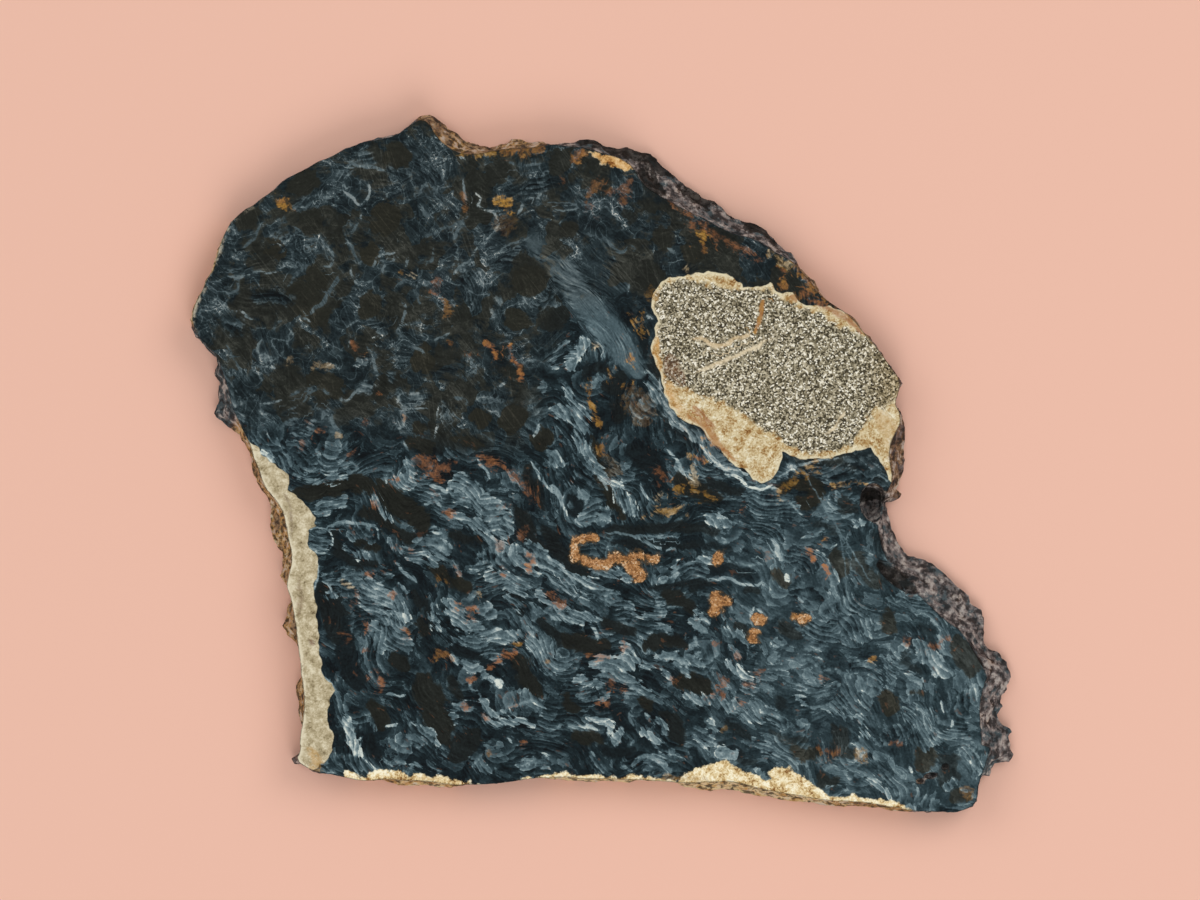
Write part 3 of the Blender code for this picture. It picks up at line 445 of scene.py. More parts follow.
# Thin pale veins: half-width, tone, then the points.
VEINS_LEFT = (
    (0.18, 0.62, (-61.5, 29.2), (-60.0, 29.9), (-58.0, 29.9), (-56.5, 30.5), (-55.0, 30.8), (-53.0, 30.6),
     (-51.0, 31.3), (-49.5, 33.0)),
    (0.20, 0.46, (-57.5, 34.3), (-56.5, 35.5), (-55.5, 36.3), (-55.0, 37.5), (-54.3, 38.7)),
    (0.14, 0.42, (-60.8, 31.5), (-59.5, 31.0), (-57.5, 31.2)),
    (0.18, 0.48, (-60.0, 27.0), (-58.3, 28.0), (-58.2, 29.5)),
    (0.16, 0.46, (-49.3, 38.0), (-48.0, 37.0), (-46.5, 36.0), (-45.0, 36.0), (-44.0, 35.2)),
    (0.25, 0.62, (-44.9, 42.8), (-43.5, 42.6)),
    (0.20, 0.78, (-42.0, 43.8), (-41.0, 43.3), (-39.8, 42.7), (-39.3, 42.0), (-38.5, 41.4), (-37.8, 42.0),
     (-37.2, 43.3), (-37.3, 44.7), (-38.0, 45.2), (-39.0, 44.8)),
    (0.16, 0.66, (-38.5, 41.0), (-38.7, 40.0), (-38.4, 38.9)),
    (0.20, 0.66, (-41.0, 43.8), (-41.2, 44.5), (-40.8, 45.7), (-40.0, 46.7), (-39.0, 47.3), (-38.7, 48.0)),
    (0.15, 0.56, (-42.8, 45.2), (-42.3, 46.3), (-42.0, 47.0)),
    (0.25, 0.56, (-41.5, 49.3), (-40.5, 48.5), (-39.0, 47.8), (-37.0, 47.5), (-34.5, 47.0)),
    (0.22, 0.50, (-38.8, 38.5), (-39.5, 37.5), (-40.2, 37.0)),
    (0.15, 0.62, (-41.8, 35.0), (-40.5, 35.3), (-40.0, 35.0)),
    (0.20, 0.56, (-44.8, 31.4), (-43.5, 31.7), (-43.0, 32.8), (-43.3, 34.0), (-44.5, 35.3), (-45.5, 36.0)),
    (0.20, 0.54, (-47.3, 35.2), (-46.5, 34.0)),
    (0.25, 0.42, (-50.3, 28.5), (-49.0, 30.0), (-48.0, 31.3), (-47.0, 31.8)),
    (0.30, 0.44, (-43.8, 27.0), (-42.7, 28.8), (-42.0, 30.0)),
    (0.15, 0.66, (-40.1, 31.5), (-40.0, 30.2), (-39.3, 29.0), (-38.6, 28.8), (-37.0, 29.2), (-36.3, 29.4)),
    (0.15, 0.44, (-39.8, 35.0), (-39.5, 33.5), (-39.0, 32.3)),
    (0.20, 0.62, (-31.0, 33.0), (-31.2, 31.5)),
    (0.20, 0.66, (-36.7, 31.0), (-36.3, 32.0), (-35.7, 33.0), (-34.0, 33.6), (-33.0, 34.0)),
    (0.15, 0.60, (-35.2, 30.3), (-35.0, 31.5), (-33.8, 32.3), (-32.4, 33.0)),
    (0.22, 0.50, (-33.0, 27.5), (-32.5, 28.6), (-31.5, 29.2), (-30.3, 28.8)),
    (0.20, 0.60, (-58.0, 24.8), (-57.0, 23.8), (-55.7, 23.0)),
    (0.20, 0.64, (-54.3, 20.0), (-55.0, 18.5), (-54.8, 17.5), (-53.5, 17.3), (-52.8, 16.6), (-54.0, 16.2)),
    (0.18, 0.72, (-53.7, 15.6), (-52.2, 15.3)),
    (0.20, 0.44, (-52.5, 21.3), (-52.0, 22.5), (-51.0, 23.0)),
    (0.15, 0.70, (-54.3, 9.6), (-53.0, 9.7), (-52.0, 10.0), (-51.0, 10.3)),
    (0.20, 0.46, (-51.0, 8.3), (-49.5, 8.8), (-48.0, 9.5), (-46.5, 11.5), (-45.0, 12.0), (-43.0, 11.0)),
    (0.15, 0.40, (-50.0, 10.8), (-48.0, 11.8), (-46.5, 12.2)),
    (0.25, 0.40, (-51.5, 5.8), (-50.0, 6.8), (-48.5, 7.5)),
    (0.20, 0.44, (-49.0, 4.3), (-47.5, 5.5), (-46.0, 5.7)),
    (0.25, 0.54, (-47.2, 5.5), (-46.3, 6.8), (-45.6, 7.0)),
    (0.30, 0.54, (-44.8, 7.0), (-44.3, 8.3), (-43.3, 7.7), (-42.8, 6.3), (-42.0, 5.3)),
    (0.20, 0.44, (-49.8, 5.0), (-48.0, 4.3), (-46.0, 5.0)),
    (0.25, 0.64, (-41.8, 10.8), (-41.5, 10.0), (-40.5, 10.2), (-39.8, 11.3), (-38.5, 12.0)),
    (0.25, 0.58, (-37.5, 18.8), (-36.8, 17.5), (-36.6, 16.6), (-36.0, 15.0), (-35.8, 12.8)),
    (0.22, 0.84, (-39.7, 15.8), (-38.5, 15.6)),
    (0.22, 0.88, (-36.7, 20.2), (-35.8, 20.1), (-35.0, 20.5)),
    (0.18, 0.50, (-33.0, 21.3), (-31.8, 22.0), (-30.0, 22.5), (-28.7, 22.8)),
    (0.20, 0.56, (-32.5, 26.5), (-31.5, 25.5), (-31.4, 24.0), (-32.0, 22.5), (-33.0, 21.0)),
    (0.30, 0.48, (-43.5, 27.5), (-44.5, 25.5), (-45.8, 25.0), (-46.8, 23.8)),
    (0.18, 0.56, (-48.5, 23.5), (-47.3, 23.3), (-46.5, 22.7)),
    (0.18, 0.60, (-40.8, 21.8), (-39.8, 22.5), (-39.0, 23.1)),
    (0.14, 0.64, (-40.5, 18.2), (-40.2, 19.7)),
    (0.15, 0.46, (-45.0, 1.3), (-42.5, 1.3)),
    (0.15, 0.54, (-40.5, 0.3), (-39.5, 0.0), (-38.9, -0.8), (-40.2, -1.6)),
    (0.14, 0.42, (-60.0, 19.0), (-58.8, 17.0), (-57.5, 14.5), (-56.5, 13.0)),
)
VEINS_MIDDLE = (
    (0.18, 0.78, (-20.4, 43.3), (-19.3, 42.5), (-19.8, 41.2), (-18.5, 40.7), (-17.3, 40.3), (-16.6, 38.9)),
    (0.15, 0.72, (-16.0, 38.6), (-17.0, 37.3), (-18.0, 36.2), (-19.4, 35.3)),
    (0.20, 0.62, (-23.9, 30.3), (-22.5, 31.7), (-21.0, 32.5), (-20.3, 33.8), (-19.7, 34.7)),
    (0.20, 0.78, (-19.5, 31.2), (-19.1, 29.5), (-19.0, 28.0)),
    (0.22, 0.68, (-13.5, 39.8), (-12.8, 41.0), (-11.8, 42.2), (-10.7, 42.6)),
    (0.18, 0.66, (-10.4, 41.3), (-10.2, 42.5), (-9.5, 43.2)),
    (0.18, 0.54, (-16.3, 33.7), (-15.0, 35.0), (-13.0, 35.7), (-11.5, 36.3)),
    (0.09, 0.50, (-8.8, 41.8), (-5.0, 41.7), (-2.5, 41.4), (0.0, 41.7), (2.0, 41.6)),
    (0.10, 0.66, (-8.0, 40.6), (-5.0, 40.7), (-2.0, 41.4)),
    (0.20, 0.50, (-29.0, 41.5), (-28.0, 40.0), (-27.3, 39.5)),
    (0.18, 0.44, (-28.3, 36.6), (-27.0, 36.8), (-25.7, 37.7), (-24.0, 38.0), (-22.0, 39.0), (-21.3, 39.7)),
    (0.22, 0.54, (-23.8, 36.0), (-23.0, 37.3), (-21.8, 38.5)),
    (0.20, 0.46, (-28.3, 31.6), (-27.0, 33.0), (-26.8, 34.5)),
    (0.20, 0.60, (-18.8, 48.8), (-18.7, 49.8)),
    (0.12, 0.62, (-15.5, 45.8), (-14.5, 45.0)),
    (0.22, 0.46, (-14.8, 48.3), (-13.0, 47.7), (-11.0, 48.0), (-9.5, 48.0)),
    (0.20, 0.60, (4.3, 28.8), (4.2, 27.3)),
    (0.25, 0.42, (-3.0, 37.0), (0.0, 36.0), (3.0, 34.0), (4.5, 34.8), (5.5, 34.3)),
    (0.25, 0.60, (10.5, 34.8), (12.0, 33.5), (12.5, 32.5)),
    (0.16, 0.40, (-30.0, 28.0), (-29.3, 26.5), (-28.9, 25.3)),
    (0.22, 0.54, (-24.0, 26.5), (-23.6, 25.0)),
    (0.18, 0.60, (-26.7, 19.8), (-25.3, 20.2), (-24.5, 21.0)),
    (0.20, 0.54, (-21.5, 17.5), (-20.8, 16.5), (-20.8, 15.0), (-21.5, 14.0)),
    (0.16, 0.50, (-20.0, 15.8), (-19.9, 14.3)),
    (0.22, 0.60, (-15.3, 14.0), (-15.5, 13.0), (-16.5, 12.5)),
    (0.15, 0.54, (-12.0, 16.5), (-10.5, 16.5)),
    (0.14, 0.62, (-16.5, 19.0), (-15.2, 19.6), (-14.5, 19.0)),
    (0.14, 0.74, (-32.6, 9.1), (-32.4, 11.0), (-30.0, 11.3), (-27.6, 11.9)),
    (0.14, 0.68, (-32.2, 8.9), (-30.0, 8.8), (-27.8, 8.8)),
    (0.15, 0.84, (-26.0, 9.4), (-26.2, 7.0), (-26.3, 5.5), (-26.6, 4.0)),
    (0.18, 0.54, (-25.0, 8.0), (-25.2, 6.0)),
    (0.30, 0.46, (-23.5, 10.5), (-22.0, 10.3), (-21.5, 9.5)),
    (0.22, 0.80, (-9.8, 6.3), (-10.3, 5.3), (-10.8, 4.0)),
    (0.22, 0.66, (-32.3, 7.8), (-31.6, 8.0), (-31.8, 5.8)),
    (0.18, 0.80, (-32.8, 5.5), (-32.3, 5.8)),
    (0.15, 0.60, (-31.8, 4.0), (-31.3, 2.8), (-31.0, 2.0)),
    (0.22, 0.54, (-30.3, 18.9), (-28.6, 18.0), (-28.4, 17.0)),
    (0.10, 0.76, (-1.0, 19.5), (0.2, 18.3), (0.0, 17.0)),
    (0.30, 0.90, (6.8, 15.1), (7.5, 14.4)),
    (0.30, 0.84, (7.3, 23.7), (8.1, 23.0)),
    (0.14, 0.70, (-22.0, 45.6), (-21.9, 44.0), (-21.6, 41.4)),
    (0.30, 0.80, (-22.8, 49.4), (-21.8, 48.2)),
    (0.12, 0.40, (-24.0, 8.2), (-20.5, 5.8), (-17.0, 3.4)),
)
VEINS_LOWER = (
    (0.24, 0.92, (15.6, 3.2), (18.0, 0.6), (20.2, -1.2), (22.2, -2.6), (24.0, -3.8), (25.8, -4.2),
     (27.4, -3.2)),
    (0.18, 0.80, (9.4, 13.6), (9.6, 11.0), (11.0, 8.2), (13.0, 5.8), (15.2, 3.6)),
    (0.16, 0.72, (28.4, -2.0), (31.2, -0.4), (34.0, 0.4), (38.0, 0.9)),
    (0.10, 0.52, (32.6, -1.4), (36.6, -8.6), (40.4, -14.6), (43.0, -19.0)),
    (0.08, 0.44, (35.4, -4.6), (38.6, -14.0), (39.4, -24.0)),
    (0.13, 0.74, (-46.7, -10.5), (-45.0, -10.1), (-43.4, -11.0), (-43.0, -12.4), (-43.8, -13.8),
     (-45.4, -14.2),
     (-46.7, -13.4)),
    (0.14, 0.80, (-45.3, -16.0), (-45.6, -18.6), (-46.0, -20.4)),
    (0.14, 0.76, (-44.7, -33.0), (-44.4, -34.2), (-43.2, -35.2), (-42.5, -36.6)),
    (0.22, 0.64, (-44.0, -10.0), (-41.0, -9.3), (-38.0, -9.6), (-36.0, -10.3), (-35.7, -12.0)),
    (0.20, 0.66, (-34.4, -1.8), (-34.3, -3.2)),
    (0.25, 0.70, (-27.5, -3.5), (-26.0, -3.8), (-24.5, -4.8)),
    (0.25, 0.62, (-28.5, -6.5), (-26.8, -6.0), (-25.5, -7.0)),
    (0.28, 0.68, (-27.6, -10.8), (-26.5, -9.9)),
    (0.25, 0.72, (-27.0, -11.0), (-25.3, -11.2)),
    (0.25, 0.64, (-33.0, -15.5), (-32.0, -16.8), (-31.0, -17.8), (-29.5, -19.0)),
    (0.20, 0.74, (-20.0, 0.8), (-18.5, -1.0), (-17.8, -2.5)),
    (0.20, 0.78, (-11.5, 0.3), (-10.3, -1.0), (-9.5, -2.7), (-8.3, -4.0), (-7.0, -5.0), (-6.0, -7.0),
     (-5.3, -8.5)),
    (0.20, 0.74, (-8.0, -3.3), (-7.0, -4.3), (-6.2, -6.0)),
    (0.16, 0.74, (-7.3, 2.2), (-6.4, 0.0)),
    (0.24, 0.72, (-9.0, -14.7), (-7.0, -16.0), (-5.0, -18.0), (-2.5, -19.3), (-1.0, -20.2)),
    (0.20, 0.68, (-9.8, -17.0), (-7.4, -19.2), (-5.0, -20.6), (-2.0, -22.0)),
    (0.16, 0.60, (10.0, -14.0), (11.5, -13.3), (12.0, -14.0)),
    (0.25, 0.64, (5.0, -11.3), (6.5, -12.3), (8.5, -13.2), (9.5, -13.4)),
    (0.16, 0.56, (0.5, -11.0), (4.0, -11.3), (8.0, -11.7), (12.5, -11.8)),
    (0.22, 0.76, (11.0, 1.5), (12.5, 0.0), (13.3, -1.5), (15.0, -3.0)),
    (0.18, 0.70, (10.5, 2.5), (11.5, 1.0), (12.0, 0.0)),
    (0.18, 0.66, (6.0, -3.0), (7.0, -5.0), (8.5, -6.5)),
    (0.20, 0.76, (-0.5, -2.0), (0.6, -3.4), (1.0, -4.4)),
    (0.15, 0.60, (-15.0, -38.8), (-13.0, -38.2), (-10.5, -38.0)),
    (0.24, 0.74, (-34.5, -42.2), (-32.7, -41.5)),
    (0.18, 0.66, (-34.5, -36.8), (-33.0, -37.1), (-31.3, -36.8)),
    (0.18, 0.80, (-37.8, -47.3), (-36.5, -48.5), (-35.3, -49.3)),
    (0.14, 0.62, (-35.0, -47.0), (-33.3, -48.6)),
    (0.20, 0.82, (-14.8, -43.8), (-14.3, -44.8)),
    (0.25, 0.80, (-3.2, -42.4), (-2.0, -42.0), (-0.5, -42.8)),
    (0.20, 0.60, (-5.5, -42.0), (-4.0, -42.3), (-2.5, -41.8)),
    (0.20, 0.62, (3.0, -47.5), (4.0, -49.0), (4.8, -49.3)),
    (0.25, 0.84, (21.5, -32.0), (23.0, -33.3)),
    (0.25, 0.66, (14.8, -27.3), (15.3, -28.8)),
    (0.25, 0.70, (-2.0, -25.5), (-0.8, -27.0), (-0.5, -28.3)),
    (0.30, 0.64, (-8.0, -24.5), (-6.0, -25.0), (-4.5, -25.5)),
    (0.18, 0.50, (5.0, -39.0), (4.5, -40.5), (5.3, -42.0)),
    (0.20, 0.76, (54.0, -38.0), (54.7, -39.0), (55.0, -39.8)),
    (0.22, 0.84, (56.2, -41.0), (55.8, -42.2)),
    (0.22, 0.60, (57.0, -45.5), (59.0, -48.0)),
    (0.25, 0.78, (49.3, -48.3), (49.7, -49.7)),
    (0.22, 0.56, (35.8, -49.2), (37.0, -48.4), (38.0, -49.4)),
    (0.14, 0.68, (30.0, -6.0), (31.0, -7.3), (32.3, -8.2)),
    (0.32, 0.80, (27.0, -12.0), (28.0, -13.5), (28.6, -15.0)),
    (0.26, 0.54, (24.5, -13.0), (26.0, -13.6), (27.5, -15.0)),
    (0.25, 0.62, (19.0, -12.0), (20.0, -12.7)),
    (0.18, 0.54, (22.0, -16.0), (24.0, -16.3), (26.0, -16.0)),
    (0.24, 0.74, (16.8, -18.5), (20.0, -18.3), (22.0, -19.0), (24.5, -19.5), (25.8, -18.5)),
    (0.36, 0.88, (29.5, -17.5), (29.8, -18.8)),
    (0.32, 0.66, (31.5, -21.3), (32.3, -22.0)),
    (0.25, 0.50, (36.5, -8.0), (37.2, -9.5)),
    (0.34, 0.84, (30.2, -0.2), (30.8, -1.2)),
    (0.20, 0.72, (24.6, -22.8), (23.8, -24.4), (24.0, -26.0)),
)
VEINS = VEINS_LEFT + VEINS_MIDDLE + VEINS_LOWER

# The broad grey fibrous streak right of the upper middle: half-width, tone, then the points.
STREAKS = (
    (1.6, 0.40, (-11.6, 36.6), (-10.0, 34.6), (-8.4, 32.8), (-6.6, 31.0)),
    (2.3, 0.49, (-8.4, 32.6), (-6.0, 30.0), (-3.4, 27.2), (-1.0, 24.0), (1.4, 20.8), (3.8, 17.6),
     (6.4, 13.8)),
    (1.4, 0.52, (-7.4, 32.2), (-5.6, 31.2), (-3.8, 29.2)),
    (1.3, 0.48, (0.6, 24.2), (2.8, 21.0), (4.6, 18.0)),
    (3.4, 0.26, (-1.0, 35.6), (1.0, 31.4), (3.6, 27.6)),
)

# Iron stains: half-width, hue from 0 (rust brown) over 0.33 (orange), 0.66 (ochre) to 1 (cream), strength,
# then the points.
STAINS = (
    (0.9, 0.62, 0.9, (-17.2, 41.9), (-15.8, 41.5), (-14.2, 41.4)),
    (0.5, 0.58, 0.8, (-15.3, 39.9), (-15.0, 38.7)),
    (1.8, 0.56, 0.22, (-15.6, 40.0), (-15.2, 36.4)),
    (0.8, 0.58, 0.9, (15.7, 37.5), (16.4, 35.2)),
    (0.5, 0.40, 0.6, (16.2, 35.6), (16.8, 33.6)),
    (0.8, 0.55, 0.9, (-51.6, 41.3), (-50.1, 42.3)),
    (0.6, 0.40, 0.8, (-4.4, 48.2), (-3.7, 49.4), (-2.9, 50.5)),
    (0.5, 0.36, 0.5, (-2.2, 42.4), (-1.2, 44.4), (0.0, 46.0)),
    (0.5, 0.30, 0.5, (-0.2, 43.7), (3.0, 43.4), (4.8, 45.6)),
    (0.3, 0.30, 0.5, (3.0, 43.2), (3.8, 41.4)),
    (0.8, 0.22, 0.4, (-2.6, 40.2), (-1.6, 41.4)),
    (0.4, 0.20, 0.5, (-7.0, 45.1), (-5.8, 45.4)),
    (0.3, 0.36, 0.5, (-22.0, 43.4), (-21.6, 40.6)),
    (0.6, 0.20, 0.6, (-26.2, 29.9), (-26.5, 27.2)),
    (0.4, 0.45, 0.5, (-24.8, 26.4), (-24.3, 23.2)),
    (0.3, 0.62, 0.5, (-32.4, 30.7), (-31.4, 30.5)),
    (0.35, 0.95, 0.7, (-30.6, 30.8), (-29.8, 29.5)),
    (0.45, 0.34, 0.9, (-18.5, 20.2), (-18.0, 19.0), (-17.3, 17.8), (-16.7, 16.5)),
    (0.20, 0.34, 0.9, (-15.0, 19.3), (-14.7, 18.0), (-14.0, 16.5), (-13.2, 15.2)),
    (0.30, 0.34, 0.9, (-13.6, 15.8), (-13.0, 14.8), (-12.5, 13.2)),
    (0.15, 0.20, 0.7, (-21.8, 17.7), (-20.9, 17.3)),
    (0.4, 0.40, 0.5, (-24.4, 19.8), (-24.0, 19.0)),
    (0.3, 0.25, 0.6, (-39.9, 20.0), (-39.4, 18.2)),
    (0.16, 0.45, 0.8, (-39.0, 17.6), (-37.1, 17.4)),
    (0.35, 0.30, 0.6, (-36.0, 11.8), (-35.3, 11.1)),
    (0.6, 0.80, 0.4, (-50.0, 16.9), (-49.2, 16.2)),
    (0.3, 0.75, 0.4, (-46.2, 15.6), (-43.2, 15.9)),
    (0.5, 0.18, 0.5, (-38.4, 6.7), (-37.2, 6.3)),
    (0.5, 0.18, 0.7, (-45.3, 5.6), (-44.3, 5.0)),
    (0.5, 0.80, 0.5, (-42.8, 4.7), (-41.3, 4.1)),
    (0.3, 0.15, 0.6, (-39.5, 2.6), (-41.1, 0.4)),
    (0.4, 0.12, 0.5, (-48.0, 3.8), (-47.4, 2.2)),
    (0.3, 0.15, 0.4, (-47.4, 7.4), (-46.8, 6.2)),
    (0.5, 0.40, 0.6, (-31.9, 8.0), (-31.5, 7.0)),
    (1.3, 0.22, 0.75, (-30.2, 0.9), (-28.4, 0.0), (-26.6, -1.6), (-25.6, -3.0)),
    (0.4, 0.15, 0.7, (-25.6, -0.8), (-24.6, -0.2), (-23.2, 0.2)),
    (0.5, 0.28, 0.8, (-20.2, 1.3), (-18.4, 0.8), (-16.6, -0.2), (-15.0, -0.4)),
    (0.7, 0.25, 0.6, (-14.8, -1.0), (-13.0, -2.6), (-11.4, -4.4), (-9.8, -6.6)),
    (0.4, 0.20, 0.7, (-36.7, -6.2), (-35.4, -7.2)),
    (0.3, 0.25, 0.8, (-33.4, -2.6), (-32.6, -2.7)),
    (0.35, 0.25, 0.7, (-24.3, -7.2), (-23.9, -8.8)),
    (0.25, 0.30, 0.7, (-15.2, -6.4), (-14.9, -7.4)),
    (0.8, 0.18, 0.7, (-13.4, -10.4), (-12.4, -12.0)),
    (0.4, 0.20, 0.8, (-33.3, -12.7), (-32.3, -13.4)),
    (0.4, 0.20, 0.7, (-31.2, -13.9), (-30.3, -14.2)),
    (0.4, 0.18, 0.5, (-16.6, -12.4), (-16.0, -13.8)),
    (0.4, 0.55, 0.5, (-26.4, -18.0), (-24.4, -18.8)),
    (0.35, 0.22, 0.7, (-37.8, -17.6), (-35.2, -17.6)),
    (0.3, 0.85, 0.6, (-42.0, -19.2), (-39.4, -19.8)),
    (0.4, 0.18, 0.6, (-39.8, -20.2), (-38.8, -21.2)),
    (0.5, 0.16, 0.6, (-40.4, -21.8), (-39.0, -22.4)),
    (0.3, 0.16, 0.6, (-23.4, -16.2), (-22.5, -17.8)),
    (0.25, 0.25, 0.8, (-12.0, -14.0), (-11.2, -15.6)),
    (0.25, 0.30, 0.8, (-12.0, -15.8), (-11.0, -17.4)),
    (0.3, 0.25, 0.8, (-17.3, -18.1), (-15.4, -17.8)),
    (0.35, 0.25, 0.8, (-23.0, -22.2), (-21.8, -22.9), (-19.6, -22.9)),
    (0.35, 0.20, 0.9, (-21.5, -22.8), (-21.2, -24.0), (-20.4, -25.2)),
    (0.3, 0.85, 0.6, (-19.7, -20.8), (-18.9, -20.8)),
    (0.6, 0.15, 0.8, (-8.5, -20.6), (-7.6, -21.8), (-5.4, -22.6)),
    (0.3, 0.20, 0.7, (-33.4, -20.2), (-33.2, -21.6)),
    (0.25, 0.25, 0.8, (-37.4, -25.6), (-37.8, -27.4)),
    (0.35, 0.20, 0.8, (-36.4, -32.8), (-35.2, -34.4), (-34.6, -35.4)),
    (0.3, 0.20, 0.6, (-35.8, -35.8), (-35.2, -36.4)),
    (0.3, 0.22, 0.6, (-38.2, -30.0), (-36.2, -30.4)),
    (0.6, 0.20, 0.5, (-42.0, -27.2), (-40.0, -28.2)),
    (0.3, 0.30, 0.7, (-31.8, -26.4), (-30.2, -27.4)),
    (0.6, 0.45, 0.6, (-27.4, -31.4), (-25.8, -30.4)),
    (0.25, 0.40, 0.7, (-25.9, -29.6), (-23.8, -31.8)),
    (0.3, 0.25, 0.8, (-20.6, -33.8), (-21.2, -35.2)),
    (0.35, 0.25, 0.8, (-18.2, -32.8), (-16.0, -31.7)),
    (0.35, 0.28, 0.8, (-15.6, -29.6), (-15.0, -30.6), (-13.6, -29.8)),
    (0.3, 0.60, 0.7, (-14.2, -28.8), (-12.4, -28.6)),
    (0.25, 0.28, 0.8, (-12.0, -26.8), (-12.4, -28.2)),
    (0.3, 0.25, 0.7, (-22.6, -38.8), (-21.2, -38.5)),
    (0.3, 0.25, 0.7, (-19.2, -40.0), (-18.3, -41.0)),
    (0.25, 0.35, 0.6, (-15.2, -39.0), (-13.0, -38.2)),
    (0.25, 0.15, 0.8, (-14.0, -44.2), (-12.0, -44.5)),
    (0.3, 0.50, 0.4, (-18.2, -45.6), (-17.6, -46.6)),
    (0.5, 0.15, 0.7, (1.4, -34.4), (2.4, -35.6)),
    (0.4, 0.20, 0.8, (-1.2, -38.4), (0.6, -38.2), (2.4, -37.4)),
    (0.35, 0.20, 0.6, (3.2, -35.2), (4.0, -36.2)),
    (0.5, 0.22, 0.7, (3.2, -27.6), (4.2, -28.0)),
    (0.3, 0.20, 0.6, (3.8, -29.2), (3.6, -30.0)),
    (0.35, 0.25, 0.6, (-2.6, -30.6), (1.4, -31.0)),
    (0.3, 0.55, 0.5, (-9.0, -31.4), (-8.2, -31.6)),
    (0.5, 0.15, 0.6, (18.0, -28.2), (19.4, -28.6)),
    (0.6, 0.15, 0.7, (19.2, -34.0), (20.0, -35.2)),
    (0.35, 0.18, 0.8, (18.2, -36.0), (19.8, -37.4)),
    (0.35, 0.18, 0.8, (21.8, -37.6), (23.0, -39.0)),
    (0.4, 0.20, 0.7, (22.8, -35.4), (24.4, -35.2)),
    (0.5, 0.12, 0.6, (24.6, -33.8), (26.2, -32.8)),
    (0.3, 0.35, 0.6, (16.4, -37.6), (18.2, -37.6)),
    (0.4, 0.25, 0.5, (21.2, -30.6), (22.6, -30.8)),
    (0.3, 0.25, 0.5, (11.0, -34.4), (12.4, -34.2)),
    (0.4, 0.65, 0.4, (19.0, -42.8), (20.4, -42.4)),
    (0.4, 0.30, 0.6, (34.8, -34.3), (36.2, -34.3)),
    (0.25, 0.55, 0.7, (42.6, -31.2), (44.0, -31.2)),
    (0.6, 0.28, 0.6, (48.2, -28.3), (49.8, -27.8)),
    (0.4, 0.22, 0.7, (52.2, -29.4), (54.0, -28.8), (55.6, -27.6)),
    (0.5, 0.28, 0.6, (46.2, -44.6), (48.4, -44.9)),
    (1.4, 0.60, 0.45, (40.8, -47.2), (42.4, -46.2)),
    (0.5, 0.35, 0.6, (34.4, -45.4), (35.6, -46.0), (38.6, -46.4)),
    (1.0, 0.55, 0.40, (57.4, -52.8), (59.4, -52.0)),
    (0.5, 0.30, 0.8, (22.0, -7.6), (22.8, -7.0)),
    (0.22, 0.30, 0.9, (33.0, -13.8), (34.2, -15.4), (35.2, -16.2), (36.0, -17.6), (36.1, -18.4)),
    (0.35, 0.45, 0.8, (35.7, -11.9), (36.0, -12.6)),
    (0.5, 0.15, 0.6, (26.2, -14.4), (27.4, -14.8)),
    (0.22, 0.60, 0.6, (28.0, -5.2), (30.4, -2.8), (32.4, -1.2), (34.6, 0.4)),
    (0.18, 0.62, 0.6, (29.4, -4.4), (32.0, -2.4), (34.8, -1.2)),
    (0.22, 0.62, 0.7, (30.4, -2.8), (31.4, -1.6), (32.4, -0.9)),
    (0.16, 0.62, 0.7, (36.8, -3.2), (39.6, -3.0), (42.6, -3.2)),
    (0.22, 0.66, 0.7, (14.0, 1.6), (15.4, 0.6), (17.2, 0.4)),
    (0.5, 0.36, 0.8, (14.6, 1.0), (16.8, 0.2)),
    (0.5, 0.90, 0.6, (14.2, -0.6), (15.8, -1.4)),
    (0.30, 0.20, 0.7, (9.4, 0.0), (9.6, -1.6), (10.4, -2.6)),
    (0.35, 0.50, 0.6, (0.0, 4.2), (0.4, 1.8), (2.0, 0.0), (3.0, -2.0)),
    (1.2, 0.75, 0.22, (0.4, 1.0), (1.8, -0.6), (2.8, -1.8)),
    (0.12, 0.55, 0.8, (-1.5, 14.0), (-2.0, 12.0), (-1.8, 10.0), (-1.0, 8.0), (-0.3, 5.5)),
    (0.12, 0.55, 0.7, (2.4, 16.0), (1.6, 14.4), (1.4, 13.0)),
    (0.5, 0.85, 0.8, (-1.6, 19.6), (-0.8, 18.4)),
    (0.35, 0.50, 0.8, (4.0, 16.2), (5.0, 17.4)),
    (2.2, 0.60, 0.26, (4.0, 12.0), (6.0, 9.6), (7.2, 6.2)),
    (0.18, 0.58, 0.8, (3.2, 12.6), (4.6, 10.8), (5.2, 8.6), (6.8, 7.0)),
    (0.15, 0.60, 0.8, (5.0, 13.0), (6.4, 11.0), (7.0, 9.0)),
    (0.14, 0.60, 0.7, (4.0, 24.6), (5.2, 21.0), (5.8, 19.0)),
    (0.14, 0.60, 0.6, (7.0, 25.2), (6.4, 22.6), (7.0, 20.2)),
    (1.2, 0.62, 0.35, (9.2, 26.6), (6.6, 27.6)),
    (0.25, 0.60, 0.7, (12.6, -3.4), (11.8, -4.4), (12.6, -5.4)),
    (0.12, 0.60, 0.7, (13.0, -3.2), (15.6, -4.4), (19.0, -6.0)),
    (0.4, 0.85, 0.6, (8.4, -5.4), (9.6, -5.8)),
    (0.14, 0.66, 0.7, (6.4, -8.2), (10.0, -7.6), (14.0, -7.0)),
    (0.4, 0.85, 0.6, (14.2, -2.4), (15.4, -3.2)),
    (0.5, 0.30, 0.7, (28.0, 31.8), (29.4, 30.8)),
    (0.9, 0.45, 0.8, (28.2, 28.9), (29.8, 27.9)),
    (0.7, 0.40, 0.8, (30.2, 26.8), (31.6, 26.2)),
    (0.4, 0.10, 0.8, (24.8, 32.8), (25.2, 32.2)),
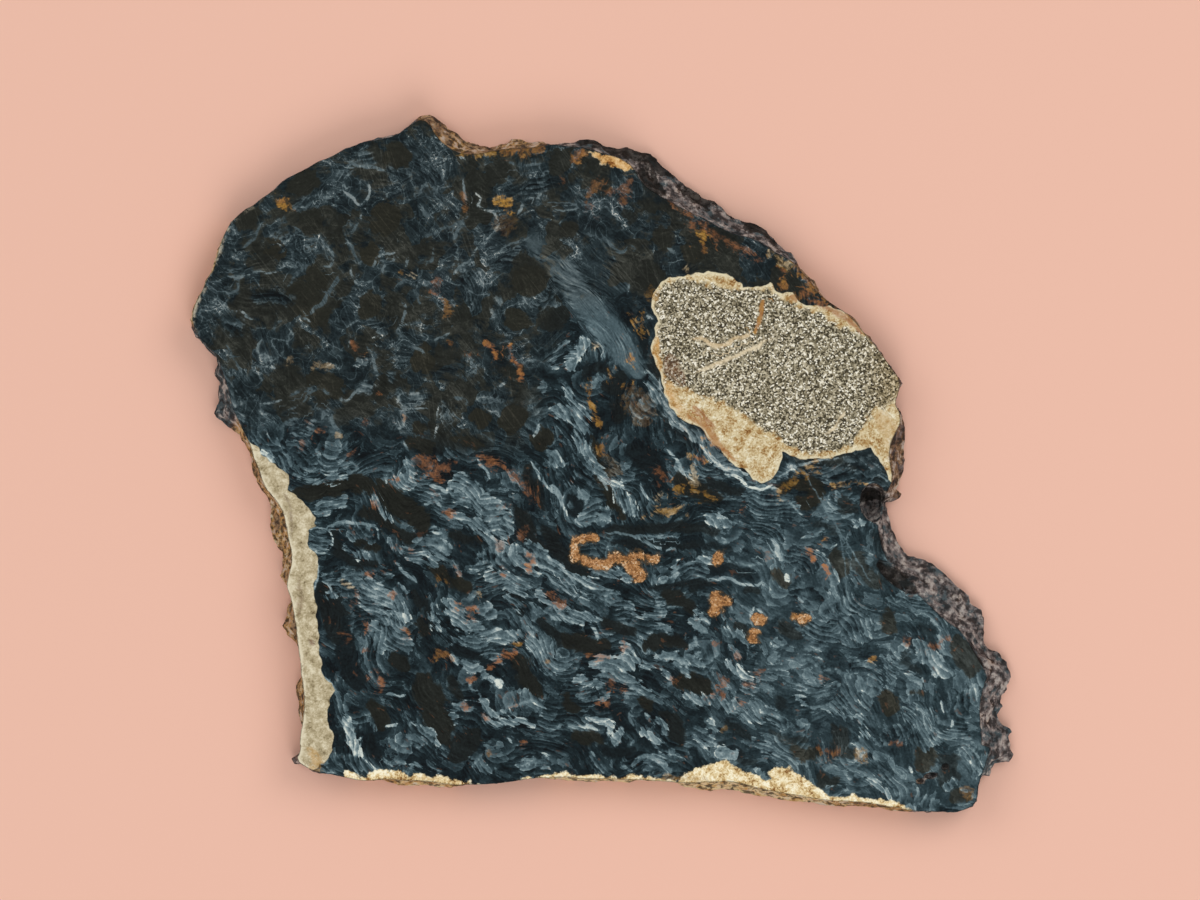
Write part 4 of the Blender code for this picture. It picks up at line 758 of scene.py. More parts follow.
    (0.6, 0.85, 0.7, (13.0, 31.4), (14.2, 30.6)),
    (0.3, 0.45, 0.6, (30.4, -23.7), (31.4, -24.4)),
    (0.9, 0.42, 0.8, (30.6, 32.6), (33.0, 29.8), (36.0, 27.2), (39.6, 24.8), (42.8, 21.4)),
    (0.8, 0.80, 0.7, (26.6, 33.8), (28.4, 33.0), (30.0, 31.0)),
    (0.6, 0.30, 0.8, (31.4, 27.6), (34.4, 25.6), (38.4, 23.8), (42.0, 20.6)),
    (0.6, 0.20, 0.7, (8.0, 45.4), (11.6, 42.0), (15.6, 38.6), (21.0, 35.2), (26.0, 32.6)),
    (0.7, 0.42, 0.8, (13.2, 8.0), (15.6, 6.6), (17.4, 5.0), (18.6, 3.2), (20.4, 1.4), (21.8, 0.2)),
    (0.5, 0.30, 0.8, (14.4, 9.6), (16.4, 7.6), (18.2, 5.8)),
    (1.4, 0.10, 0.5, (10.8, 17.6), (11.6, 14.6), (13.4, 12.6)),
    (0.6, 0.45, 0.9, (26.0, 26.4), (25.6, 24.2), (25.0, 22.2), (24.6, 20.6)),
    (0.5, 0.95, 0.9, (14.8, 14.6), (18.4, 15.9), (22.2, 17.6), (27.4, 20.0)),
    (0.5, 0.85, 0.9, (14.0, 20.0), (16.4, 19.8), (19.2, 18.8), (21.4, 20.0), (24.2, 20.6)),
    (0.4, 0.95, 0.9, (35.8, 4.8), (37.4, 6.2), (39.2, 8.6)),
    (1.6, 0.80, 0.6, (44.0, 8.4), (46.4, 4.8), (47.4, 0.4)),
    (0.8, 0.20, 0.5, (46.0, 2.6), (47.2, -1.6)),
    (1.2, 0.45, 0.7, (-17.6, 50.6), (-12.0, 50.6), (-9.0, 50.6)),
    (0.4, 0.60, 0.7, (-22.8, 49.6), (-20.4, 49.8), (-16.4, 50.0)),
    (0.4, 0.00, 0.9, (-46.7, -28.1), (-45.9, -29.0)),
    (0.7, 0.52, 0.8, (18.0, -51.4), (26.0, -53.0), (33.0, -54.2)),
    (0.5, 0.60, 0.5, (6.0, -51.0), (12.0, -50.4), (17.0, -50.6)),
    (0.5, 0.05, 0.6, (-48.8, -35.4), (-48.2, -36.8)),
    (0.3, 0.00, 0.7, (-50.6, -4.6), (-49.6, -8.2), (-49.8, -12.0)),
    (0.3, 0.05, 0.7, (-48.6, -17.6), (-48.0, -21.2), (-48.6, -24.6)),
    (0.8, 0.62, 0.6, (-47.2, -45.4), (-45.6, -47.2), (-46.4, -49.8)),
)

# Granular orange hollows, lined with small grains: half-width, then the points.
VUGS = (
    (0.75, (-4.8, -12.6), (-4.4, -14.2), (-2.8, -15.6), (-0.6, -16.1), (2.0, -15.4), (4.6, -14.9),
     (7.4, -15.2)),
    (0.7, (-4.6, -12.2), (-2.8, -12.0), (-0.6, -12.0)),
    (1.1, (4.9, -15.4), (5.4, -17.0), (6.4, -18.8)),
    (0.6, (7.0, -14.9), (9.2, -15.2)),
    (0.9, (17.9, -14.7), (19.6, -15.5)),
    (1.1, (17.6, -20.6), (18.4, -22.0), (18.0, -24.4)),
    (0.8, (19.2, -21.2), (20.0, -23.0)),
    (1.1, (25.2, -23.8), (24.8, -25.8)),
    (0.8, (24.6, -26.4), (24.3, -28.8)),
    (0.45, (30.8, -24.0), (31.8, -24.9), (33.6, -24.6)),
)

# Drawn layers: name, strokes, names of their values, how far the wobble shifts them, how far past its edge a
# stroke is still felt, and how blunt its ends are. A shift of None is half in calm rock and whole in swirls.
STROKE_LAYERS = (
    ("pale", BUNDLES, ("tone",), None, 1.2, 2.6),
    ("streak", STREAKS, ("tone",), None, 1.6, 4.0),
    ("dark", SHADES, ("brown",), None, 1.2, 3.0),
    ("vein", VEINS, ("tone",), 0.5, 0.9, 4.0),
    ("stain", STAINS, ("hue", "power"), 0.7, 0.9, 4.0),
    ("vug", VUGS, (), 0.8, 0.9, 5.0),
)
# These keep the side of the stroke that a place is on, and the others only how deep inside it is.
THIN_LAYERS = ("vein", "stain")

# Outlines of the larger bodies in the face, anticlockwise. The lens is a small body at the top of the face.
CLAST = (
    (8.2, 27.0), (7.9, 25.3), (8.4, 24.0), (9.3, 22.7), (8.5, 21.8), (8.6, 20.5), (8.0, 19.0), (7.9, 17.7),
    (8.5, 16.6), (8.9, 15.5), (9.4, 14.5), (9.7, 13.0), (10.0, 11.5), (10.5, 10.0), (11.5, 8.5), (12.5, 7.2),
    (14.0, 6.5), (15.7, 6.0), (16.6, 5.0), (17.5, 3.7), (18.8, 2.6), (20.0, 1.0), (21.0, 0.0), (22.5, -0.7),
    (23.7, -1.5), (24.3, -2.6), (25.5, -3.0), (26.8, -2.8), (27.5, -2.0), (28.3, -1.0), (28.7, 0.7),
     (29.0, 1.9),
    (30.5, 1.3), (32.0, 0.7), (34.0, 0.9), (36.0, 0.8), (38.0, 1.4), (40.0, 1.9), (41.5, 2.3), (43.0, 2.6),
    (44.0, 1.2), (45.3, -0.5), (46.0, -2.5), (46.6, -3.8), (50.5, -3.8), (52.0, 8.0), (50.0, 16.0),
     (44.0, 24.0),
    (39.5, 24.2), (37.0, 25.0), (34.5, 25.4), (33.0, 25.2), (31.5, 26.0), (30.5, 27.5), (29.0, 27.2),
    (28.0, 27.6), (27.0, 29.0), (25.5, 28.3), (22.7, 28.2), (22.0, 28.9), (20.5, 30.2), (18.0, 30.7),
    (15.0, 30.5), (13.0, 30.0), (11.0, 29.8), (9.5, 29.0),
)
CLAST_CORE = (
    (8.6, 26.6), (9.0, 23.0), (9.2, 20.0), (9.6, 18.0), (9.8, 15.0), (10.4, 13.1), (12.0, 12.9),
     (14.0, 12.0),
    (16.0, 10.9), (18.5, 10.4), (21.0, 9.3), (23.0, 7.9), (25.0, 6.2), (28.0, 4.8), (30.0, 2.8), (33.0, 1.8),
    (36.0, 1.9), (40.0, 3.1), (41.0, 5.0), (42.5, 7.0), (43.5, 9.0), (46.0, 9.5), (47.5, 12.0), (47.2, 15.4),
    (44.4, 18.4), (42.0, 20.6), (39.0, 21.2), (37.0, 22.5), (34.0, 24.0), (31.5, 25.0), (29.0, 26.0),
    (27.0, 27.4), (24.0, 28.0), (20.0, 27.7), (16.0, 28.7), (13.0, 29.4), (10.2, 28.6),
)
TAN_STRIP = (
    (-56.2, 3.4), (-58.5, 5.4), (-62.0, 3.0), (-60.0, -52.0), (-48.0, -52.0), (-46.6, -49.4), (-45.0, -48.2),
    (-43.8, -47.2), (-43.2, -46.0), (-42.8, -44.0), (-43.9, -41.0), (-43.9, -39.5), (-43.3, -37.3),
    (-42.6, -36.3), (-43.3, -35.0), (-44.6, -34.3), (-44.8, -32.0), (-45.2, -30.0), (-45.3, -28.0),
    (-45.5, -25.0), (-45.8, -22.0), (-46.2, -20.0), (-45.8, -18.5), (-45.2, -16.5), (-45.6, -14.2),
    (-46.9, -13.5), (-46.9, -10.5), (-45.7, -10.0), (-45.8, -8.7), (-46.8, -7.2), (-49.0, -5.0),
    (-50.2, -4.2), (-50.0, -1.8), (-52.0, -0.4), (-53.4, 0.6), (-54.6, 1.8), (-55.2, 2.9),
)
LENS = (
    (-1.9, 50.0), (0.2, 49.7), (2.4, 49.4), (4.4, 48.4), (6.2, 47.0), (4.0, 46.9), (1.4, 47.4), (-0.4, 48.6),
)
CRUST = (
    (-45.0, -60.0), (57.0, -60.0), (54.5, -56.2), (50.5, -55.6), (48.4, -55.0), (48.3, -54.3), (46.5, -54.0),
    (44.5, -53.6), (43.0, -53.8), (41.0, -53.3), (40.2, -52.7), (39.3, -53.4), (37.0, -53.2), (35.0, -52.3),
    (33.0, -50.6), (30.6, -49.2), (30.0, -48.3), (27.6, -48.7), (26.6, -49.4), (27.2, -50.6), (26.2, -50.6),
    (25.0, -50.0), (22.5, -49.0), (20.8, -48.0), (19.5, -47.2), (18.3, -47.8), (17.0, -48.3), (15.0, -48.7),
    (13.7, -49.6), (12.0, -50.8), (10.0, -50.5), (7.5, -50.1), (5.0, -49.7), (3.0, -50.2), (0.0, -49.9),
    (-2.0, -49.7), (-4.5, -49.9), (-6.0, -49.3), (-8.0, -49.6), (-10.0, -50.0), (-12.5, -50.3),
    (-14.0, -50.9),
    (-18.5, -52.0), (-21.0, -51.0), (-22.5, -50.6), (-24.0, -50.5), (-25.5, -49.8), (-27.0, -50.2),
    (-29.5, -49.5), (-31.0, -50.0), (-32.0, -48.7), (-34.0, -49.3), (-35.5, -48.9), (-37.0, -49.6),
    (-38.5, -50.3), (-39.8, -49.3), (-41.0, -49.3), (-41.5, -50.5),
)
# Where the fibres swirl: the lower half and the middle, with a soft border in millimetres
SWIRL_BORDER = (-4.0, 3.0)
SWIRL_ZONE = (
    (-66.0, 4.0), (-66.0, -62.0), (72.0, -62.0), (72.0, -14.0), (47.0, -2.0), (30.0, 0.0), (20.0, 0.0),
    (10.0, 8.0), (7.0, 20.0), (4.0, 26.0), (-6.0, 24.0), (-9.0, 14.0), (-12.0, 4.0), (-24.0, 2.0),
     (-38.0, 5.0),
    (-52.0, 6.0),
)

# The colour of the rind round the edge: its place along RIND_COLOURS, then the points of that stretch.
# Nearer stretches count for more, by this power of the distance.
RIND_NEARNESS = 6.0
RIND_ZONES = (
    (0.62, (-30.0, 56.5), (-19.0, 51.0), (-10.0, 52.0)),
    (0.15, (-7.0, 52.0), (8.0, 50.5), (16.0, 43.0), (27.0, 37.0), (31.0, 33.0)),
    (0.60, (32.0, 31.5), (38.0, 25.5), (42.5, 21.0)),
    (0.45, (44.0, 19.0), (48.5, 13.5), (49.0, 5.0), (48.5, -2.0), (48.5, -5.0)),
    (0.15, (46.0, -8.0), (49.0, -15.0), (60.0, -22.0), (65.0, -34.0), (64.0, -40.0), (66.0, -47.0)),
    (0.00, (62.0, -50.0), (60.0, -55.0), (52.0, -56.5)),
    (0.78, (48.0, -56.0), (36.0, -55.0)),
    (0.95, (34.0, -54.5), (14.0, -52.2), (-6.0, -51.0)),
    (0.00, (-14.0, -51.4), (-20.0, -52.0)),
    (0.85, (-24.0, -52.2), (-38.0, -51.0)),
    (0.30, (-42.0, -50.5), (-49.0, -48.5)),
    (0.72, (-48.8, -44.0), (-50.6, -27.0), (-51.4, -17.0), (-53.2, -8.0), (-56.4, 0.0), (-58.0, 4.6)),
    (0.00, (-61.0, 7.0), (-62.0, 14.0), (-65.0, 20.0)),
    (0.90, (-66.0, 24.0), (-63.0, 31.0), (-60.0, 38.0)),
    (0.00, (-56.0, 42.0), (-46.0, 48.4), (-34.0, 53.0), (-31.0, 55.0)),
)


def srgb(red, green, blue):
    """A colour given as it looks, 0 to 255 each, as the linear values that a shader takes."""
    parts = []
    for value in (red, green, blue):
        share = value / 255.0
        parts.append(share / 12.92 if share <= 0.04045 else ((share + 0.055) / 1.055) ** 2.4)
    return (*parts, 1.0)


# Colour ramps: place along the ramp, then the colour as it looks
QUARTZ_COLOURS = (
    (0.00, (12, 17, 20)), (0.16, (23, 34, 38)), (0.32, (42, 57, 62)), (0.50, (74, 92, 98)),
    (0.66, (104, 123, 128)), (0.82, (147, 163, 165)), (1.00, (212, 218, 208)),
)
BROWN_COLOURS = (
    (0.00, (19, 20, 16)), (0.25, (40, 40, 33)), (0.60, (78, 75, 63)), (1.00, (140, 132, 112)),
)
STAIN_COLOURS = (
    (0.00, (84, 60, 46)), (0.33, (158, 104, 66)), (0.66, (176, 132, 58)), (1.00, (222, 207, 176)),
)
GRAIN_COLOURS = (
    (0.00, (62, 56, 42)), (0.25, (108, 100, 78)), (0.50, (146, 136, 112)), (0.75, (180, 170, 144)),
    (0.92, (206, 196, 170)), (1.00, (240, 234, 216)),
)
TAN_COLOURS = (
    (0.00, (128, 84, 40)), (0.25, (172, 136, 84)), (0.50, (204, 182, 138)), (0.75, (224, 208, 170)),
    (1.00, (240, 232, 206)),
)
STRIP_COLOURS = (
    (0.00, (96, 80, 54)), (0.30, (158, 144, 112)), (0.60, (188, 174, 142)), (1.00, (222, 212, 184)),
)
CRUST_COLOURS = (
    (0.00, (126, 84, 40)), (0.25, (190, 158, 106)), (0.55, (228, 206, 158)), (1.00, (250, 242, 214)),
)
RIND_COLOURS = (
    (0.00, (76, 88, 92)), (0.15, (130, 121, 118)), (0.30, (108, 97, 94)), (0.45, (124, 94, 68)),
    (0.60, (168, 140, 108)), (0.75, (186, 142, 82)), (0.95, (224, 202, 154)),
)
VUG_COLOURS = (
    (0.00, (52, 42, 28)), (0.35, (138, 94, 56)), (0.65, (192, 142, 92)), (1.00, (232, 216, 188)),
)

# Single colours of the stone
CALM_SHADE = srgb(252, 240, 236)
OCHRE_RING = srgb(92, 72, 46)
CORE_SHADE = srgb(206, 190, 160)
AMBER_SKIN = srgb(204, 146, 72)
PALE_SKIN = srgb(226, 214, 180)
STRIP_THREAD = srgb(222, 212, 184)
LENS_SHADE = srgb(222, 184, 136)
BARE_RIM = srgb(196, 186, 164)
RIND_PIT = srgb(36, 34, 34)
RIND_CRAG = srgb(196, 188, 180)
# Where the dark strokes cross the walls: the rind's darker stretches, and painted shade in the notch and
# recesses
RIND_DARK_AND_SHADE = srgb(26, 25, 22)
SHEEN = 0.08

# The feathers' paleness is partly their own colour and partly the fibres' silky sheen, painted into the tone.
# Feathers of the swirled ground: how many to a millimetre, bend, the field that covers them, and paleness
FEATHERS = ((0.42, 0.7, "wisp", 0.36), (1.15, 0.5, "patch", 0.28))
# Thin curls of the calm ground: noise scale, width and paleness
CURLS = ((0.34, 0.017, 0.36), (0.60, 0.022, 0.27), (0.95, 0.030, 0.16))
# Saw marks: direction in degrees, the field that keeps them to patches, and where it starts
SAW_MARKS = ((-52.0, "wisp", -0.4), (-70.5, "patch", 0.3), (-84.0, "seam", 0.5))
SAW_RATE_ACROSS = 4.6
SAW_RATE_ALONG = 0.03

# The studio, in metres and watts
FLOOR_SIZE = 6.0
FLOOR_COLOUR = srgb(238, 190, 170)
FLOOR_ROUGHNESS = 0.9
FLOOR_SHEEN = 0.1
SOFTBOX_SIZE = 0.9
SOFTBOXES = (
    ("left_softbox", (-0.78, 0.42, 0.88), 2.6),
    ("right_softbox", (0.72, 0.52, 0.88), 4.2),
    ("front_softbox", (0.10, -0.90, 0.88), 5.2),
)
SKY_COLOUR = (1.0, 1.0, 1.0, 1.0)
SKY_STRENGTH = 0.5

# The photograph's frame: 192 mm across at the height of the sawn face, seen from straight above
VIEW_WIDTH = 192.0 * MM
VIEW_CENTRE = (-0.24 * MM, 2.20 * MM)
VIEW_DISTANCE = 1.2
SENSOR_MM = 36.0
CLIP_START = 0.05
CLIP_END = 20.0


def smooth_step(values, low, high):
    """0 below low, 1 above high, and a smooth rise between them."""
    share = np.clip((values - low) / (high - low), 0.0, 1.0)
    return share * share * (3.0 - 2.0 * share)


def eased_line(points, pieces=4):
    """The points of a smooth curve through the given ones."""
    points = [np.array(point, float) for point in points]
    if len(points) < 3:
        return np.array(points)
    padded = [2 * points[0] - points[1], *points, 2 * points[-1] - points[-2]]
    curve = []
    for before, start, end, after in zip(padded, padded[1:], padded[2:], padded[3:]):
        for step in range(pieces):
            t = step / pieces
            slope = (end - before) * t
            bend = (2 * before - 5 * start + 4 * end - after) * t * t
            twist = (3 * start - before - 3 * end + after) * t ** 3
            curve.append(0.5 * (2 * start + slope + bend + twist))
    curve.append(points[-1])
    return np.array(curve)


def offsets_from_line(spots, line):
    """Signed distance of each spot to the line, its share of the way along, and how far it is past an end."""
    starts, ends = line[:-1], line[1:]
    lengths = np.linalg.norm(ends - starts, axis=1)
    walked = np.concatenate([[0.0], np.cumsum(lengths)])
    best = np.full(len(spots), np.inf)
    signed = np.zeros(len(spots))
    share = np.zeros(len(spots))
    past = np.zeros(len(spots))
    last = len(starts) - 1
    for index, (start, end, length) in enumerate(zip(starts, ends, lengths)):
        way = (end - start) / length
        away = spots - start
        along = away @ way
        held = np.clip(along, 0.0, length)
        across = away[:, 1] * way[0] - away[:, 0] * way[1]
        gap = np.hypot(along - held, across)
        over = np.zeros(len(spots))
        if index == 0:
            over = np.maximum(over, -along)
        if index == last:
            over = np.maximum(over, along - length)
        nearer = gap < best
        best[nearer] = gap[nearer]
        signed[nearer] = (gap * np.where(across < 0, -1.0, 1.0))[nearer]
        share[nearer] = ((walked[index] + held) / walked[-1])[nearer]
        past[nearer] = over[nearer]
    return signed, share, past


def stroke_layer(spots, strokes, values_each, reach, blunt):
    """For each spot, the stroke that it lies deepest in: signed offset, half-width there, and its values."""
    count = len(spots)
    offset = np.full(count, reach)
    width = np.full(count, -reach)
    values = [np.zeros(count) for _ in range(values_each)]
    for half_width, *rest in strokes:
        given, points = rest[:values_each], rest[values_each:]
        line = eased_line(points)
        low = line.min(axis=0) - half_width - reach
        high = line.max(axis=0) + half_width + reach
        near = np.flatnonzero(((spots > low) & (spots < high)).all(axis=1))
        if not len(near):
            continue
        signed, share, past = offsets_from_line(spots[near], line)
        taper = np.sqrt(np.clip(1.0 - np.abs(2.0 * share - 1.0) ** blunt, 0.0, 1.0))
        local = half_width * taper - past
        deeper = local - np.abs(signed) > width[near] - np.abs(offset[near])
        chosen = near[deeper]
        offset[chosen] = np.clip(signed[deeper], -half_width - reach, half_width + reach)
        width[chosen] = np.maximum(local[deeper], -reach)
        for value, number in zip(values, given):
            value[chosen] = number
    return offset, width, values


def polygon_depth(spots, corners):
    """Distance to the polygon's edge, positive inside."""
    starts = np.array(corners, float)
    ends = np.roll(starts, -1, axis=0)
    best = np.full(len(spots), np.inf)
    inside = np.zeros(len(spots), bool)
    for start, end in zip(starts, ends):
        way = end - start
        away = spots - start
        share = np.clip(away @ way / (way @ way), 0.0, 1.0)
        best = np.minimum(best, np.hypot(*(away - share[:, None] * way).T))
        crosses = (start[1] > spots[:, 1]) != (end[1] > spots[:, 1])
        rise = way[1] if way[1] else 1.0
        inside ^= crosses & (spots[:, 0] < start[0] + (spots[:, 1] - start[1]) * way[0] / rise)
    return np.where(inside, best, -best)


def waves(spots, length, seed):
    """A smooth random field of about unit size, with the given wavelength."""
    rng = np.random.default_rng(SEED + seed)
    angles = rng.uniform(0.0, 2.0 * math.pi, WAVE_COUNT)
    sizes = 2.0 * math.pi / (length * rng.uniform(0.7, 1.5, WAVE_COUNT))
    phases = rng.uniform(0.0, 2.0 * math.pi, WAVE_COUNT)
    total = np.zeros(len(spots))
    for angle, size, phase in zip(angles, sizes, phases):
        total += np.cos(size * (spots[:, 0] * math.cos(angle) + spots[:, 1] * math.sin(angle)) + phase)
    return total * math.sqrt(2.0 / WAVE_COUNT)


def wave_pair(spots, length, seed):
    """Two such fields side by side, as a shift in x and y."""
    return np.stack([waves(spots, length, seed), waves(spots, length, seed + 1)], axis=1)


def flow_samples():
    """Middles of the strokes' stretches and the unit way that the fibres run there."""
    places = []
    ways = []
    for stroke in BUNDLES + STREAKS + SHADES:
        line = eased_line(stroke[2:], 3)
        for start, end in zip(line[:-1], line[1:]):
            way = (end - start) / np.linalg.norm(end - start)
            if way @ MAIN_FLOW < 0:
                way = -way
            places.append((start + end) / 2)
            ways.append(way)
    return np.array(places), np.array(ways)


def bells(away):
    """The height of a guide at that distance along one axis."""
    return np.exp(-away ** 2 / (2.0 * GUIDE_REACH ** 2))


def fibre_field(spots):
    """A smooth height whose level lines follow the fibres, fitted to the strokes, and its unit slope."""
    places, ways = flow_samples()
    across = np.stack([-ways[:, 1], ways[:, 0]], axis=1)
    base = np.array((-MAIN_FLOW[1], MAIN_FLOW[0]))
    xs = np.arange(-GUIDE_SPAN[0], GUIDE_SPAN[0] + 1.0, GUIDE_SPACING)
    ys = np.arange(-GUIDE_SPAN[1], GUIDE_SPAN[1] + 1.0, GUIDE_SPACING)
    centres = np.array([(x, y) for x in xs for y in ys])
    away = places[:, None, :] - centres[None, :, :]
    bell = bells(away[:, :, 0]) * bells(away[:, :, 1])
    system = np.concatenate([-away[:, :, axis] * bell / GUIDE_REACH ** 2 for axis in (0, 1)])
    wanted = np.concatenate([across[:, axis] - base[axis] for axis in (0, 1)])
    held = system.T @ system + GUIDE_STIFFNESS * np.eye(len(centres)) / GUIDE_REACH ** 2
    weights = np.linalg.solve(held, system.T @ wanted)
    grid = weights.reshape(len(xs), len(ys))
    away_x = spots[:, 0, None] - xs[None, :]
    away_y = spots[:, 1, None] - ys[None, :]
    bell_x = bells(away_x)
    bell_y = bells(away_y)
    height = spots @ base + ((bell_x @ grid) * bell_y).sum(axis=1)
    rise_x = base[0] - (((away_x * bell_x) @ grid) * bell_y).sum(axis=1) / GUIDE_REACH ** 2
    rise_y = base[1] - ((bell_x @ grid) * (away_y * bell_y)).sum(axis=1) / GUIDE_REACH ** 2
    steep = np.hypot(rise_x, rise_y) + 1e-9
    return height, rise_x / steep, rise_y / steep


def rind_hue(spots):
    """The rind's colour step at each place: a mean of the zones, weighed steeply by nearness."""
    total = np.zeros(len(spots))
    weight = np.zeros(len(spots))
    for hue, *line in RIND_ZONES:
        gap = np.full(len(spots), np.inf)
        for start, end in zip(line[:-1], line[1:]):
            reach = np.subtract(end, start)
            along = np.clip((spots - start) @ reach / (reach @ reach), 0.0, 1.0)
            gap = np.minimum(gap, np.linalg.norm(spots - start - along[:, None] * reach, axis=1))
        share = (gap + 1.0) ** -RIND_NEARNESS
        total += hue * share
        weight += share
    return total / weight


def fields(places, wall, top):
    """Every painted value at each vertex, by the name of its attribute. Places are in millimetres."""
    flat = places[:, :2] - np.array(READING_SHIFT)
    depth = 1.0 - places[:, 2] / top
    spots = flat + depth[:, None] * np.array(DEPTH_DRIFT)
    swirl = smooth_step(polygon_depth(spots, SWIRL_ZONE), *SWIRL_BORDER)
    found = {"swirl": swirl, "wall": wall}
    height, found["lean_x"], found["lean_y"] = fibre_field(spots)
    for length, seed, calm_size, more in FIBRE_WAVES:
        height += (calm_size + more * swirl) * waves(spots, length, seed)
    found["fibre"] = height
    wobble = WOBBLE_SIZE * wave_pair(spots, 3.2, 1)
    for name, strokes, value_names, ragged, reach, blunt in STROKE_LAYERS:
        share = 0.5 + 0.5 * swirl[:, None] if ragged is None else ragged
        offset, width, values = stroke_layer(spots + wobble * share, strokes, len(value_names), reach, blunt)
        if name in THIN_LAYERS:
            found[f"{name}_off"] = offset
            found[f"{name}_width"] = width
        else:
            found[f"{name}_edge"] = width - np.abs(offset)
        for value_name, value in zip(value_names, values):
            found[f"{name}_{value_name}"] = value
    fine = FINE_WOBBLE_SIZE * wave_pair(spots, 1.5, 5)
    found["clast"] = polygon_depth(spots + fine, CLAST)
    found["core"] = polygon_depth(spots + 2.0 * fine, CLAST_CORE)
    found["strip"] = polygon_depth(flat + fine, TAN_STRIP)
    found["crust"] = np.maximum(polygon_depth(flat + fine, CRUST), polygon_depth(flat + fine, LENS))
    found["rind_hue"] = rind_hue(flat)
    found["rim"] = rim_gap(places, wall, top)
    bent = spots + BEND_SIZE * wave_pair(spots, 5.0, 12)
    for name, length, seed in BENT_WAVES:
        found[name] = waves(bent, length, seed)
    found["wisp"] = waves(spots, 8.0, 11)
    return found


def rim_gap(places, wall, top):
    """Distance seen from above to the nearest edge of the sawn face."""
    rim = places[(wall == RIM_MARK) & (np.abs(places[:, 2] - top) < FLAT)]
    tree = kdtree.KDTree(len(rim))
    for index, (x, y, _) in enumerate(rim):
        tree.insert((x, y, 0.0), index)
    tree.balance()
    return np.array([tree.find((x, y, 0.0))[2] for x, y, _ in places])


def slab_shell(node):
    """The slab's broken walls, without the two sawn faces, in millimetres and finely divided."""
    shell = bmesh.new()
    shell.from_mesh(node.data)
    bmesh.ops.scale(shell, vec=(1.0 / MM,) * 3, verts=shell.verts)
    bmesh.ops.remove_doubles(shell, verts=shell.verts, dist=WELD_GAP)
    top = cad_box[1][2] / MM
    sawn = []
    for face in shell.faces:
        heights = [vertex.co.z for vertex in face.verts]
        if min(heights) > top - FLAT or max(heights) < FLAT:
            sawn.append(face)
    bmesh.ops.delete(shell, geom=sawn, context="FACES")
    for _ in range(WALL_PASSES):
        long_edges = [edge for edge in shell.edges if edge.calc_length() > WALL_EDGE]
        bmesh.ops.subdivide_edges(shell, edges=long_edges, cuts=1)
        wide = [face for face in shell.faces if len(face.verts) > 3]
        bmesh.ops.triangulate(shell, faces=wide, quad_method="SHORT_EDGE")
    return shell, top


def wear_walls(shell, top):
    """Hackly fracture on the walls: shallow scoops with sharp crests, and a fine grain."""
    shell.normal_update()
    moves = []
    for vertex in shell.verts:
        place = vertex.co
        outward = vertex.normal.copy()
        squashed = Vector((place.x, place.y, place.z * WALL_SCOOP_SQUASH))
        gaps, _ = noise.voronoi(squashed / WALL_SCOOP_SIZE)
        hollow = max(0.0, 1.0 - WALL_SCOOP_SHARPNESS * gaps[0])
        grain = noise.fractal(place / WALL_GRAIN_SIZE, 1.0, 2.1, 3)
        on_rim = place.z > top - FLAT or place.z < FLAT
        if on_rim:
            outward.z = 0.0
            moves.append(outward * (RIM_JITTER * grain))
        else:
            moves.append(outward * (WALL_GRAIN * grain - WALL_SCOOP * hollow))
    for vertex, move in zip(shell.verts, moves):
        was = vertex.co.z
        vertex.co += move
        if FLAT <= was <= top - FLAT:
            vertex.co.z = min(max(vertex.co.z, 3 * FLAT), top - 3 * FLAT)
        else:
            vertex.co.z = was


def fill_face(shell, height, spacing):
    """Fills the open edge at that height with a jittered triangular lattice. Returns new points and faces."""
    rim = [
        edge for edge in shell.edges
        if edge.is_boundary and all(abs(vertex.co.z - height) < FLAT for vertex in edge.verts)
    ]
    order = {}
    for edge in rim:
        for vertex in edge.verts:
            order.setdefault(vertex.index, len(order))
    rim_places = [shell.verts[index].co.xy.copy() for index in order]
    links = [(order[edge.verts[0].index], order[edge.verts[1].index]) for edge in rim]
    tree = kdtree.KDTree(len(rim_places))
    for index, place in enumerate(rim_places):
        tree.insert((place.x, place.y, 0.0), index)
    tree.balance()
    rng = np.random.default_rng(SEED)
    low = np.array(cad_box[0]) / MM
    high = np.array(cad_box[1]) / MM
    lattice = []
    rise = spacing * math.sqrt(3.0) / 2.0
    for row, y in enumerate(np.arange(low[1], high[1], rise)):
        for x in np.arange(low[0] + (row % 2) * spacing / 2, high[0], spacing):
            nudge = rng.uniform(-LATTICE_JITTER, LATTICE_JITTER, 2) * spacing
            spot = (x + nudge[0], y + nudge[1], 0.0)
            if tree.find(spot)[2] > EDGE_CLEARANCE * spacing:
                lattice.append(Vector(spot[:2]))
    spots, _, triangles, sources, _, _ = delaunay_2d_cdt(rim_places + lattice, links, [], 0, 1e-6)
    flat = np.array(spots)
    middles = flat[np.array(triangles)].mean(axis=1)
    ends = np.array([(*rim_places[start], *rim_places[end]) for start, end in links])
    kept = [triangle for triangle, inside in zip(triangles, inside_rims(middles, ends)) if inside]
    rim_indices = {place: index for index, place in order.items()}
    return spots, kept, sources, rim_indices


def inside_rims(middles, ends):
    """Whether each place is on the face: the rims that a ray from it crosses are odd in number."""
    inside = np.zeros(len(middles), bool)
    for start_x, start_y, end_x, end_y in ends:
        low, high = min(start_y, end_y), max(start_y, end_y)
        near = np.flatnonzero((middles[:, 1] > low) & (middles[:, 1] <= high))
        share = (middles[near, 1] - start_y) / (end_y - start_y) if len(near) else 0.0
        inside[near] ^= middles[near, 0] < start_x + share * (end_x - start_x)
    return inside


